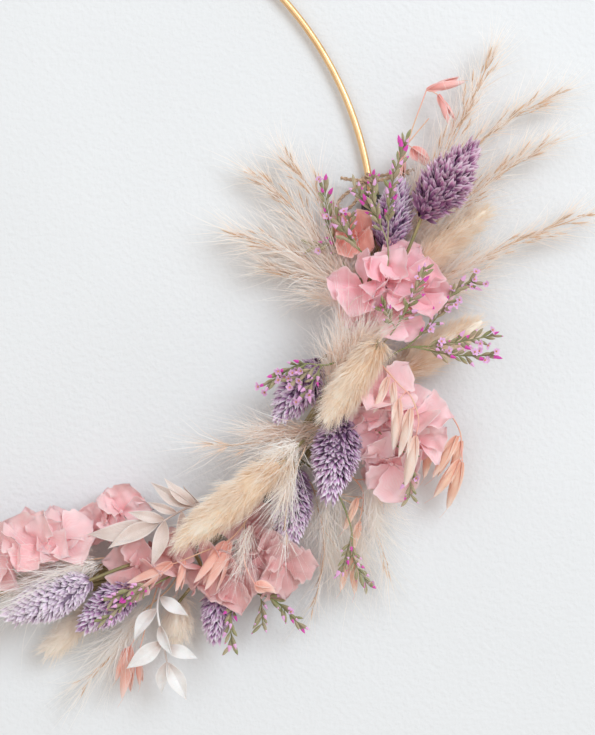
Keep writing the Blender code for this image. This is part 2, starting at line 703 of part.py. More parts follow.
def straight_way(root, target):
    """The direction round the sheaf in which its surface faces the target."""
    away = target - round_hoop(root, HOOP_RADIUS, SHEAF_FLOOR + sheaf_radius(root))
    around = math.degrees(math.atan2(away.z, away.dot(sheaf_outward(root, 0))))
    return min(STRAIGHT_LIMITS[1], max(STRAIGHT_LIMITS[0], around))


def route(room, owner, root, target, aim, beyond, radius, start=None):
    """The first way out of the sheaf that crosses nothing. It gives the points and the socket."""
    straight = straight_way(root, target) if start is None else start
    for shift in ROOT_SHIFTS:
        for bend in SHEAF_BENDS:
            around = min(ROOT_LIMITS[1], max(ROOT_LIMITS[0], straight + bend))
            for handle in HANDLES:
                points = lead_in(root + shift, around, handle, target, aim)
                socket = sheaf_point(root + shift, around)
                if room.passes(points + beyond, radius, owner, socket):
                    return points, (root + shift, around)
    return None


def way_out(room, owner, root, targets, aim, beyond, radius, start=None):
    """The way to the first of the targets that can be reached."""
    for target in targets:
        found = route(room, owner, root, target, aim, beyond, radius, start)
        if found:
            return target, *found
    raise RuntimeError(f"{owner} has no clear way out of the sheaf")


def socket_cutter(root, around, radius):
    """A five-sided hole, wider than its stalk by the gap."""
    out = sheaf_outward(root, around)
    surface = sheaf_point(root, around)
    bm = bmesh.new()
    bmesh.ops.create_cone(bm, cap_ends=True, segments=5, radius1=1.0, radius2=1.0, depth=1.0,
                          matrix=Matrix.Translation((0, 0, 0.5)))
    wide = (radius + GAP) / math.cos(math.pi / 5) * MM
    floor = surface - out * (ROOT_DEPTH + GAP) * MM
    lid = surface + out * MM
    bmesh.ops.transform(bm, matrix=along(floor, lid, wide, wide, Vector((0.3, 0.5, 0.8))), verts=bm.verts[:])
    return bm


def foot_depth(head, form):
    """How far a stem reaches into the dimple in a head's foot, with the gap left round its tip."""
    deep = DIMPLE * (at(head.tip) - at(head.base)).length / MM
    rim = head.radius * belly(0.0, form) * math.cos(math.pi / form.around)
    slope = math.hypot(rim, deep) / deep
    return deep * (1 - (STEM_RADIUS * (1 - THINNING) + GAP * slope) / rim)


def put_heads(room, kind, heads, form, stems):
    """Places the flower heads, and gives the stems that they stand on."""
    shapes = {}
    for i, head in enumerate(heads, 1):
        name = f"{kind}_{i}"
        shapes[name] = scaled_head(head, form)
        room.put(name, shapes[name])
        aim = (at(head.tip) - at(head.base)).normalized()
        seat = at(head.base) + aim * foot_depth(head, form) * MM
        stems.append((name, head.root, at(head.base) - aim * MM, aim, seat))
    return shapes


def put_stems(room, stems, sheaf):
    tubes = []
    for name, root, target, aim, seat in stems:
        _, points, _ = way_out(room, name, root, [target], aim, [], STEM_RADIUS)
        tubes.append(stalk(points + [seat], STEM_RADIUS))
    return joined("bound_stems", sheaf, tubes)


def put_spray(room, name, spray, radius, sockets):
    """Places a spray's main stalk and its twigs."""
    seen = [at(point) for point in spray.path]
    twigs = [[at(point) for point in twig] for twig in spray.twigs]
    aim = (seen[1] - seen[0]).normalized()
    _, points, socket = way_out(room, name, spray.root, seen[:1], aim, seen[1:], radius)
    sockets.append((*socket, radius))
    way = points + seen[1:]
    paths = [seen]
    pieces = []
    for twig in twigs:
        twig[0] = nearest_on([way], twig[0])
        rods = []
        for first, second in zip(twig, twig[1:]):
            ahead = (second - first).normalized()
            rods.append(rod(first, second + ahead * INSIDE * MM, radius * TWIG_SHARE))
        if all(room.takes(piece, name) for piece in rods):
            pieces += rods
            paths.append(twig)
        else:
            print(f"{name}: no room for one of its twigs")
    shape = joined(name, stalk(way, radius), pieces)
    room.put(name, shape)
    return shape, paths


def put_bloom_stalk(room, name, bloom, sockets):
    """Places a bloom's stalk with the hub that its florets stand on, and gives the hub's middle."""
    hubs = [at(bloom.hub) + at(shift) for shift in HUB_SHIFTS]
    hub, points, socket = way_out(room, name, bloom.root, hubs, UP, [], BLOOM_STALK, bloom.around)
    sockets.append((*socket, BLOOM_STALK))
    stem = tube(points, [BLOOM_STALK] * len(points), 4)
    knob = spindle(hub - UP * HUB * MM, hub + UP * HUB * MM, HUB * 2, HUB * 2, sides=5, rows=3, fat=0.5)
    shape = joined(name, stem, [knob])
    room.put(name, shape)
    return shape, hub


def first_fit(room, owner, choices, kept=()):
    """The first set of bodies that crosses nothing, its first body clear of those kept."""
    for bodies in choices:
        if all(room.takes(body, owner) for body in bodies):
            blade = BVHTree.FromBMesh(bodies[0])
            if not any(blade.overlap(other) for other in kept):
                return bodies
        for body in bodies:
            body.free()
    return None


def floret_choices(hub, row, seed):
    """A floret on its stalk as tabled, then with it leaned, lowered, raised or drawn in."""
    x, y, z, reach, spin = row
    for size in FLORET_SIZES:
        for lean, swing, rise in FLORET_TURNS:
            middle = at((x, y, z + rise))
            facing = (middle - hub + UP * 0.012).normalized()
            tip = Vector((math.cos(math.radians(swing)), math.sin(math.radians(swing)), 0.0))
            facing = (facing + tip * math.sin(math.radians(lean))).normalized()
            blade, seat = floret(middle, facing, math.radians(spin), reach * size, random.Random(seed))
            yield [blade, rod(hub, seat, PEDICEL)]


def nearest_on(paths, point):
    """The point of the stalks that lies nearest."""
    best = None
    for path in paths:
        for first, second in zip(path, path[1:]):
            span = second - first
            share = min(1.0, max(0.0, (point - first).dot(span) / span.length_squared))
            spot = first + span * share
            if best is None or (spot - point).length < (best - point).length:
                best = spot
    return best


def husks(base, tip):
    """The two husks of an oat spikelet in one body: a full belly, and two points that stand apart."""
    bm = bmesh.new()
    bmesh.ops.create_uvsphere(bm, u_segments=4, v_segments=4, radius=1.0,
                              matrix=Matrix.Translation((0, 0, 1)))
    for vert in bm.verts:
        row = round((1 - math.acos(max(-1.0, min(1.0, vert.co.z - 1))) / math.pi) * 4)
        wide = (0.0, 0.75, 1.0, 0.45, 0.0)[row]
        on_side = abs(vert.co.x) > abs(vert.co.y)
        height = (0.0, 0.18, 0.45, 1.0 if on_side else 0.66, 0.6)[row]
        turn = math.atan2(vert.co.y, vert.co.x)
        vert.co = (wide * math.cos(turn), wide * math.sin(turn), height)
    length = (tip - base).length / MM
    shape = along(base, tip, length * 0.14 * MM, length * 0.10 * MM)
    bmesh.ops.transform(bm, matrix=shape, verts=bm.verts[:])
    bmesh.ops.triangulate(bm, faces=bm.faces[:])
    return bm


def aims(start, end):
    """The end as tabled, then swung and lifted by a little."""
    side = (end - start).cross(UP).normalized()
    for lift in LIFTS:
        for swing in SWINGS:
            yield end + (UP * lift + side * swing) * MM


def spikelet_choices(paths, base, tip):
    """A spikelet on a thin stalk, turned a little if need be."""
    start = at(base)
    joint = nearest_on(paths, start)
    sits_close = (joint - start).length < 2.5 * MM
    if sits_close:
        start = joint
    for end in aims(start, at(tip)):
        ahead = (end - start).normalized()
        bodies = [husks(start - ahead * INSIDE * MM, end)]
        if not sits_close:
            bodies.append(rod(joint, start + ahead * MM, THIN_TWIG))
        yield bodies


def leaf_choices(paths, base, tip):
    """A leaf on its foot, turned a little if need be."""
    start = at(base)
    joint = nearest_on(paths, start)
    sits_close = (joint - start).length < 4 * MM
    for end in aims(start, at(tip)):
        width = LEAF_WIDTH * (end - start).length / MM + 1.0
        if sits_close:
            yield [leaf(joint, end, width)]
        else:
            yield [leaf(start, end, width), rod(joint, start.lerp(end, 0.12), THIN_TWIG)]


def spots_along(paths, spacing, start_share, seed):
    """Spots with directions all round the stalks, out to their tips."""
    draw = random.Random(seed)
    turn = draw.uniform(0.0, math.tau)
    for number, points in enumerate(paths):
        travelled = 0.0
        total = sum((b - a).length for a, b in zip(points, points[1:]))
        due = total * (TWIG_START if number else start_share)
        for first, second in zip(points, points[1:]):
            length = (second - first).length
            ahead = (second - first) / length
            side = ahead.cross(UP).normalized()
            over = side.cross(ahead)
            while travelled + length >= due:
                turn += SPIRAL
                out = side * math.cos(turn) + over * math.sin(turn)
                yield Spot(first + ahead * (due - travelled), ahead, out, due / total, draw)
                due += spacing * MM
            travelled += length


def leaned(spot, angle):
    lean = math.radians(angle)
    return spot.ahead * math.cos(lean) + spot.out * math.sin(lean)


def bud_choices(spot):
    """A statice bud, leaning from its stalk or, with no room, closer to it or further out."""
    length = spot.draw.uniform(*BUD_LENGTHS) * MM
    for angle in BUD_LEANS:
        aim = leaned(spot, angle)
        foot = spot.point - aim * INSIDE * MM
        yield [spindle(foot, spot.point + aim * length, BUD_WIDTH, BUD_WIDTH, fat=0.5)]


def needle_choices(spot):
    """A slim spikelet of the grass, shorter towards the tip."""
    length = NEEDLE_LENGTH * (1 - NEEDLE_TAPER * spot.share) * spot.draw.uniform(0.9, 1.15) * MM
    for angle in NEEDLE_LEANS:
        aim = leaned(spot, angle)
        foot = spot.point - aim * INSIDE * MM
        yield [spindle(foot, spot.point + aim * length, NEEDLE_WIDTH, NEEDLE_DEPTH, fat=0.35)]


def clothe(room, name, shape, makers, apart=False):
    """Joins to the stalk each piece that has room, in one Boolean.

    With apart, the pieces keep clear of each other as well, as long as they can.
    """
    pieces = []
    kept = []
    for maker in makers:
        bodies = first_fit(room, name, maker(), kept) or first_fit(room, name, maker())
        if bodies is None:
            print(f"{name}: no room for one of its repeats")
            continue
        if apart:
            kept.append(BVHTree.FromBMesh(bodies[0]))
        pieces += bodies
    whole = joined(name, shape, pieces)
    room.put(name, whole)
    return whole


def centre_on_origin(root, parts):
    """Moves the wreath so that the middle of its box is over the origin."""
    points = [vert.co for part in parts.objects for vert in part.data.vertices]
    for i in (0, 1):
        root.location[i] = -(min(point[i] for point in points) + max(point[i] for point in points)) / 2


def main():
    for old in list(bpy.data.objects):
        bpy.data.objects.remove(old)
    parts = bpy.data.collections.new("dried_flower_wreath")
    bpy.context.scene.collection.children.link(parts)
    origin = bpy.data.objects.new("wreath_origin", None)
    bpy.context.scene.collection.objects.link(origin)

    room = Room()
    kinds = {"hoop": "hoop", "twine_bow": "twine"}
    shapes = {"hoop": make_hoop(), "twine_bow": make_twine()}
    for i, (first, last) in enumerate(BANDS, 1):
        shapes[f"stem_tape_{i}"] = make_band(first, last)
        kinds[f"stem_tape_{i}"] = "tape"
    for name, shape in shapes.items():
        room.put(name, shape)

    stems = []
    for kind, heads, form in (("phalaris", PHALARIS, PHALARIS_FORM), ("lagurus", LAGURUS, LAGURUS_FORM)):
        made = put_heads(room, kind, heads, form, stems)
        shapes.update(made)
        kinds.update({name: kind for name in made})
    sheaf = put_stems(room, stems, make_sheaf())
    room.put("bound_stems", sheaf)
    kinds["bound_stems"] = "sheaf"

    sockets = []
    makers = {}
    for kind, rows in (("oats", OATS), ("ruscus", RUSCUS), ("statice", STATICE), ("plume", PLUMES)):
        for i, spray in enumerate(rows, 1):
            name = f"{kind}_{i}"
            kinds[name] = kind
            shapes[name], paths = put_spray(room, name, spray, STALK_RADII[kind], sockets)
            if kind == "oats":
                makers[name] = [partial(spikelet_choices, paths, *shoot) for shoot in spray.shoots]
            elif kind == "ruscus":
                makers[name] = [partial(leaf_choices, paths, *shoot) for shoot in spray.shoots]
            elif kind == "statice":
                spots = spots_along(paths, BUD_SPACING, BUD_START, i)
                makers[name] = [partial(bud_choices, spot) for spot in spots]
            else:
                spots = spots_along(paths, NEEDLE_SPACING, NEEDLE_START, i)
                makers[name] = [partial(needle_choices, spot) for spot in spots]
    for i, bloom in enumerate(HYDRANGEA, 1):
        name = f"hydrangea_{i}"
        kinds[name] = "hydrangea"
        shapes[name], hub = put_bloom_stalk(room, name, bloom, sockets)
        makers[name] = [partial(floret_choices, hub, row, 100 * i + k) for k, row in enumerate(bloom.florets)]
    cutters = [socket_cutter(*row) for row in sockets]
    shapes["bound_stems"] = joined("bound_stems", sheaf, cutters, "DIFFERENCE")

    for kind in ("oats", "ruscus", "hydrangea", "statice", "plume"):
        for name in [name for name in makers if kinds[name] == kind]:
            shapes[name] = clothe(room, name, shapes[name], makers[name], apart=kind == "hydrangea")

    for name, shape in shapes.items():
        finish(name, shape, kinds[name], parts, origin)
    centre_on_origin(origin, parts)


main()
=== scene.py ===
"""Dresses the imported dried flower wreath: gilt hoop, bound stems, fine flowers, grasses and leaves.

Lengths in the tables are millimetres from the middle of the hoop: x to the right, y to the wreath's
top and z up from the surface that it lies on. Angles are degrees round the hoop from +x.
"""

import math
from collections import namedtuple

import bpy
import numpy as np
from bpy.props import FloatProperty, FloatVectorProperty, IntProperty, PointerProperty
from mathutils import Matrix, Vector


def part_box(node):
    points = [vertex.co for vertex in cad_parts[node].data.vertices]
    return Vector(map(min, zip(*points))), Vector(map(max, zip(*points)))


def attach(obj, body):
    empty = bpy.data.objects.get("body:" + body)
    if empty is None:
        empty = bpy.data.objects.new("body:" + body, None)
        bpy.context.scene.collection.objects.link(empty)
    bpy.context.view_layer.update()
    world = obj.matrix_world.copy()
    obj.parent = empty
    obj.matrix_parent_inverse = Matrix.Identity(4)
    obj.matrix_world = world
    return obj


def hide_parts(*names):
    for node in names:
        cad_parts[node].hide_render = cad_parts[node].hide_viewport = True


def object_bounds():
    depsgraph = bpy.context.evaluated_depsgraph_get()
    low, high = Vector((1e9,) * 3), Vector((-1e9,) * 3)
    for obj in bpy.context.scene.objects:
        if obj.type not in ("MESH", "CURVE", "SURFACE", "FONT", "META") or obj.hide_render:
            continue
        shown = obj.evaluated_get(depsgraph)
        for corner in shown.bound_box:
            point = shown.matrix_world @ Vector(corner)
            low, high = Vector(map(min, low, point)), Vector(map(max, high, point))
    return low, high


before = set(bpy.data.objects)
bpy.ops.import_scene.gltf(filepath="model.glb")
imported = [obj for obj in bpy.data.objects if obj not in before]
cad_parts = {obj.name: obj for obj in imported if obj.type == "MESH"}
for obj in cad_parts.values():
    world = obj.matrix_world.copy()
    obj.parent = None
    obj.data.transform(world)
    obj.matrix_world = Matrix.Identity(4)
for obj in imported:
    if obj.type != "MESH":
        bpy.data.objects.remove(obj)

bl_info = {
    "name": "Dried Flower Wreath",
    "version": (1, 0, 0),
    "blender": (4, 5, 0),
    "location": "View3D > Sidebar > Wreath",
    "description": "Makes the fine flowers, grasses, leaves and hoop of a dried flower wreath",
    "category": "Object",
}

CAD_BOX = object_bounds()
MM = 0.001
UP = np.array((0.0, 0.0, 1.0))
GOLDEN_ANGLE = math.pi * (3 - math.sqrt(5))

# The lowest height of any piece, a length too short to see, the angle from which an edge is sharp, and
# how far hairs may pass the box of the solids
SURFACE = 0.4 * MM
TINY = 0.01 * MM
CRISP = math.radians(55)
HAIR_REACH = np.array((16.0, 16.0, 9.0)) * MM

# The photograph's height in pixels and its millimetres to a pixel, and the camera that looks straight
# down on the wreath
PHOTO_HEIGHT = 735
PHOTO_SCALE = 150 / 351
CAMERA_HEIGHT = 803.6
CAMERA_DISTANCE = 800.0
CAMERA_OVER = (117.6, -57.1)
SENSOR = 36.0

# Soft round lamps: where they stand from the spot under the camera, and their width, in metres
KEY_PLACE = (1.0, 0.8, 1.6)
KEY_WIDTH = 1.2
FILL_PLACE = (-0.7, 0.3, 1.5)
FILL_WIDTH = 1.6

# The hoop, and the sheaf of stems bound round it, which narrows towards both ends. Bands of tape run
# from one angle to another
HOOP_LOW, HOOP_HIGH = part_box("hoop")
MIDDLE = np.array(((HOOP_LOW.x + HOOP_HIGH.x) / 2, (HOOP_LOW.y + HOOP_HIGH.y) / 2, 0.0))
HOOP_HEIGHT = (HOOP_LOW.z + HOOP_HIGH.z) / 2 / MM
WIRE_RADIUS = (HOOP_HIGH.z - HOOP_LOW.z) / 2 / MM
HOOP_RADIUS = (HOOP_HIGH.x - HOOP_LOW.x) / 2 / MM - WIRE_RADIUS
HOOP_SIDES = 18
SHEAF_FLOOR = 0.9
SHEAF_START = 7.0
SHEAF_END = -120.0
SHEAF_RADIUS = 5.5
SHEAF_END_RADIUS = 3.4
SHEAF_TAPER = 20.0
BANDS = ((6.2, -0.6), (-42.0, -49.0), (-112.5, -119.0))
INNER_STRAWS = 6
STRAW_POINTS = 54
BAND_GROWTH = 1.0
BAND_WINDINGS = 4.0
BAND_WAVES = 7
BAND_ROWS = 30
BAND_SIDES = 48

# Twine: two strands twisted together, wound round the wire at two angles and knotted on top of it
STRAND_SHARE = 0.56
FUZZ_SPACING = 0.2
FUZZ_RADIUS = 0.035
WIRE_TURN_REACH = 1.05
KNOT_REACH = 1.25
TWINE_TURNS = (8.3, 9.1)
KNOT = ((145.2, 20.5, 7.8), (149, 25.2, 7.8))
LOOP = ((146, 22, 8.0), (141, 18.5, 9.6), (136.5, 15, 10.6), (134.5, 11.5, 10.6), (137.5, 9.5, 10.6),
        (142, 13, 10.2), (146.3, 21, 8.4))
SHORT_END = ((147, 22.6, 8.0), (141.5, 22.4, 9.4), (136, 23.4, 9.0))
LONG_ENDS = (((147, 22.8, 8.0), (155, 24.6, 9.4), (161, 25.4, 9.8), (167, 26.8, 10.0)),
             ((147, 22.0, 8.0), (154, 22.6, 9.8), (160, 24.6, 10.4), (165, 25.2, 10.4)))

Bloom = namedtuple("Bloom", "tint hub florets")
Spray = namedtuple("Spray", "tint path twigs shoots")
Scales = namedtuple("Scales", "tint count length width lean mess")
Feathers = namedtuple("Feathers", "gap share hairs lengths")
Outline = namedtuple("Outline", "widest taper foot")

# Where a blade is widest along itself, how sharply its ends narrow, and how wide its foot is
PETAL = Outline(0.60, 0.46, 0.10)
LEAF = Outline(0.42, 1.15, 0.0)
HUSK = Outline(0.42, 0.70, 0.25)

HUSK_THICKNESS = 0.14 * MM
LEAF_THICKNESS = 0.2 * MM
FLOWER_THICKNESS = 0.12 * MM

# What is left of the red, green and blue where a blade or the floor is deepest in colour
PETAL_DEPTH = (0.98, 0.72, 0.75)
HUSK_DEPTH = (0.88, 0.56, 0.50)
LILAC_DEPTH = (0.75, 0.75, 0.75)
SPIKELET_DEPTH = (0.72, 0.72, 0.72)
FLOOR_DEPTH = (0.975, 0.975, 0.975)

# Where the random draws of each kind of piece start, and the radius of a spray's stalk at its foot
SEEDS = {"tape": 0, "straws": 5, "twine": 8, "phalaris": 40, "lagurus": 59, "hydrangea": 80, "oats": 100,
         "ruscus": 120, "statice": 140, "plume": 160}
STALKS = {"oats": 0.45, "ruscus": 0.65, "statice": 0.45, "plume": 0.4}

# A head's width at its foot, and how full it is
SPIKE = (0.10, 0.75)
TAIL = (0.08, 0.62)

# Canary grass: how many scales, their length and width, how far they lean from the head's axis, and
# how unlike one another they stand. Each tint has shares for how far a scale's foot is lifted out of
# the plum painted shade between the scales, how light the scales low on the head stay under that
# painted shade, and how pale their edges are
TINTS = {"mauve": (0.15, 0.35, 0.75), "violet": (0.15, 0.35, 1.0), "lavender": (0.35, 0.85, 1.0)}
PHALARIS = (
    Scales("mauve", 560, 6.8, 2.1, 54, 0.24),
    Scales("violet", 440, 5.8, 1.8, 52, 0.16),
    Scales("violet", 400, 5.8, 2.0, 54, 0.18),
    Scales("violet", 620, 5.8, 1.9, 72, 0.13),
    Scales("violet", 540, 5.6, 1.8, 66, 0.13),
    Scales("lavender", 600, 5.2, 2.1, 60, 0.12),
    Scales("violet", 440, 5.4, 2.1, 60, 0.16),
    Scales("violet", 360, 5.4, 2.0, 56, 0.18),
    Scales("lavender", 600, 5.0, 2.0, 60, 0.12),
)

# Hare's-tails, by the colour of their hair near its root. The full number of hairs stands on a head of
# this length and radius, and its core takes up this share of its width
LAGURUS = ("tan", "tan", "tan", "tan", "pale", "pale", "pale")
FULL_TAIL = (50 * MM, 8 * MM)
HAIRS_IN_A_LOCK = 8
TAIL_CORE = 0.66

# Hydrangeas: a bloom's hub is where its florets' stalks meet. Each floret: middle x, y, z, reach of its
# petals, direction of one petal
FLORET_PETALS = 4
FLORET_CREASES = 4
HYDRANGEA = (
    Bloom("blush", (157, -30, 19), (
        (145, -24, 27, 14, 153), (154, -22, 30, 13, 148), (161, -16, 25, 13, 54),
        (168, -26, 25, 14, 0), (160, -35, 27, 13, -45),
    )),
    Bloom("powder", (158, -82, 14), (
        (154, -67, 28, 13, 56), (165, -77, 26, 14, 6), (151, -84, 24, 13, 131), (146, -75, 25, 11, 160),
        (157, -97, 22, 14, -138), (168, -88, 22, 13, -45),
    )),
    Bloom("rose", (100, -129, 15), (
        (103, -134, 25, 13, -90), (112, -139, 22, 14, -72), (91, -145, 25, 13, -90),
        (79, -141, 24, 13, -127), (97, -122, 20, 13, 113),
    )),
    Bloom("salmon", (10, -138, 13), (
        (10, -131, 25, 14, 66), (-3, -136, 22, 14, 128), (19, -129, 20, 14, 34),
    )),
    Bloom("salmon", (42, -126, 9), ((43, -118, 13, 12, 79), (36, -123, 12, 10, 158))),
    Bloom("rose", (54, -142, 13), ((51, -140, 24, 13, 170), (64, -136, 20, 12, 54))),
    Bloom("coral", (143, -6, 12), ((142, -1, 17, 11, 135),)),
    Bloom("salmon", (-42, -140, 13), (
        (-41, -137, 25, 14, 100), (-54, -132, 21, 14, 150), (-34, -126, 20, 13, 60),
    )),
)

# Oats: a stalk, thin twigs, and spikelets from base to tip; one this short is a plump bud. A spikelet's
# bristle ends past its husks, which part by a share within these limits
BUD_LENGTH = 12 * MM
BUD_PLUMPNESS = 2.2
AWN_REACH = 1.22
PARTINGS = {"coral": (0.08, 0.16), "salmon": (0.08, 0.16), "biscuit": (0.03, 0.08), "peach": (0.03, 0.08)}
OATS = (
    Spray("coral", ((157, -10, 13), (160, 14, 12), (164, 37, 14), (172, 60, 15)),
          (((164, 37, 14), (173, 48, 14)),),
          (((172, 60, 15), (188, 64, 15)), ((177, 58, 15), (183, 45, 15)),
           ((162, 36, 12), (161, 22, 11)), ((166, 36, 12), (174, 28, 11)))),
    Spray("biscuit", ((151, -55, 30), (159, -64, 38), (164, -69, 39), (167, -78, 40), (166, -85, 40)), (),
          (((155, -61, 37), (149, -76, 35)), ((157, -63, 38), (157, -77, 38)),
           ((159, -70, 40), (157, -91, 38)), ((164, -74, 41), (160, -94, 40)),
           ((166, -85, 40), (162, -106, 37)))),
    Spray("peach", ((158, -67, 18), (171, -71, 18), (180, -75, 17), (186, -84, 15), (187, -96, 15)),
          (((171, -71, 18), (175, -80, 18)),),
          (((175, -80, 18), (176, -98, 17)), ((174, -86, 17), (171, -104, 15)),
           ((185, -86, 15), (175, -104, 14)), ((187, -88, 14), (182, -103, 12)),
           ((186, -96, 15), (175, -112, 14)), ((187, -97, 15), (181, -117, 12)))),
    Spray("peach", ((138, -100, 14), (145, -109, 14), (144, -121, 14), (140, -137, 14)),
          (((142, -104, 14), (150, -104, 14)),),
          (((149, -104, 14), (154, -116, 12)), ((151, -104, 12), (159, -114, 11)),
           ((143, -112, 17), (137, -126, 17)), ((144, -122, 14), (140, -136, 14)),
           ((139, -137, 12), (136, -152, 11)), ((141, -137, 14), (142, -153, 12)))),
    Spray("salmon", ((98, -118, 24), (90, -128, 29), (77, -134, 29), (67, -138, 30)),
          (((97, -121, 28), (96, -137, 36), (100, -146, 34)),),
          (((66, -138, 30), (48, -148, 31)), ((88, -129, 30), (76, -147, 32)),
           ((90, -129, 30), (81, -150, 33)), ((71, -137, 30), (68, -150, 30)),
           ((100, -146, 34), (109, -149, 34)))),
    Spray("salmon", ((60, -144, 14), (55, -160, 12), (47, -175, 12)),
          (((55, -160, 12), (52, -172, 11), (50, -179, 10)),),
          (((47, -175, 12), (44, -197, 9)), ((50, -179, 10), (51, -192, 8)),
           ((45, -176, 11), (41, -190, 8)))),
    Spray("peach", ((-61, -139, 18), (-71, -137, 20), (-81, -135, 18)), (),
          (((-71, -137, 20), (-88, -127, 18)), ((-81, -135, 18), (-101, -134, 15)),
           ((-70, -138, 18), (-85, -146, 17)))),
)

# Ruscus: shoots are leaves from base to tip
RUSCUS = (
    Spray("parchment", ((88, -117, 20), (74, -115, 23), (60, -122, 25)), (),
          (((74, -114, 24), (56, -105, 21)), ((69, -119, 25), (55, -113, 24)),
           ((63, -121, 25), (47, -117, 27)), ((60, -122, 25), (30, -127, 23)),
           ((61, -123, 25), (39, -132, 29)), ((64, -122, 25), (57, -140, 31)),
           ((78, -114, 22), (70, -106, 21)), ((76, -115, 24), (62, -103, 23)),
           ((70, -119, 23), (67, -134, 25)))),
    Spray("white", ((62, -146, 17), (59, -157, 21), (61, -169, 22), (63, -180, 21)), (),
          (((59, -158, 22), (49, -171, 22)), ((61, -171, 22), (46, -183, 22)),
           ((60, -165, 22), (66, -177, 25)), ((62, -174, 22), (76, -179, 20)),
           ((63, -180, 21), (71, -197, 18)), ((63, -180, 21), (61, -194, 18)),
           ((61, -153, 20), (72, -161, 20)))),
    Spray("parchment", ((-51, -130, 17), (-63, -124, 18), (-73, -118, 17)), (),
          (((-53, -129, 17), (-55, -112, 18)), ((-59, -127, 18), (-75, -134, 21)),
           ((-65, -123, 18), (-67, -106, 17)), ((-68, -121, 17), (-85, -124, 18)),
           ((-73, -118, 17), (-88, -106, 14)))),
)

# Sea lavender: buds stand along the stalk and its twigs, and these shares of them have an open flower
FLOWERS = {"olive": 0.05, "flowering": 0.4, "full": 0.4}
FLOWER_PETALS = 5
FLOWER_PETAL_WIDTH = 1.4 * MM
STATICE = (
    Spray("olive", ((142, -20, 18), (136, -12, 18), (131, 2, 18), (129, 17, 18)),
          (((133, -4, 18), (125, -6, 18)),), ()),
    Spray("olive", ((147, -13, 25), (139, -3, 25), (134, 5, 23)), (((140, -4, 25), (139, 6, 25)),), ()),
    Spray("olive", ((155, -9, 32), (150, 6, 35), (148, 21, 35)),
          (((154, -6, 32), (156, 16, 35), (162, 36, 32)), ((151, 3, 35), (142, 15, 32))), ()),
    Spray("olive", ((154, -46, 30), (162, -34, 35), (170, -16, 35)),
          (((157, -41, 32), (153, -32, 35)),), ()),
    Spray("flowering", ((160, -50, 28), (176, -48, 28), (198, -44, 26)),
          (((163, -49, 28), (174, -38, 28), (183, -25, 27), (189, -22, 27)),
           ((166, -50, 28), (183, -52, 27), (198, -52, 25))), ()),
    Spray("full", ((130, -56, 33), (118, -56, 32), (105, -64, 30)),
          (((128, -56, 33), (122, -66, 34)), ((126, -56, 33), (115, -63, 33))), ()),
    Spray("olive", ((157, -88, 28), (164, -96, 29), (164, -111, 28)), (), ()),
    Spray("olive", ((97, -150, 18), (108, -155, 17), (119, -166, 15)),
          (((103, -152, 18), (103, -166, 15)), ((97, -150, 18), (90, -159, 21), (90, -172, 20))), ()),
    Spray("olive", ((66, -143, 25), (51, -151, 30), (37, -162, 30)),
          (((59, -146, 28), (51, -148, 32), (40, -153, 32)),), ()),
    Spray("olive", ((140, -124, 20), (141, -137, 18), (146, -147, 15)),
          (((140, -126, 20), (136, -143, 19)),), ()),
)

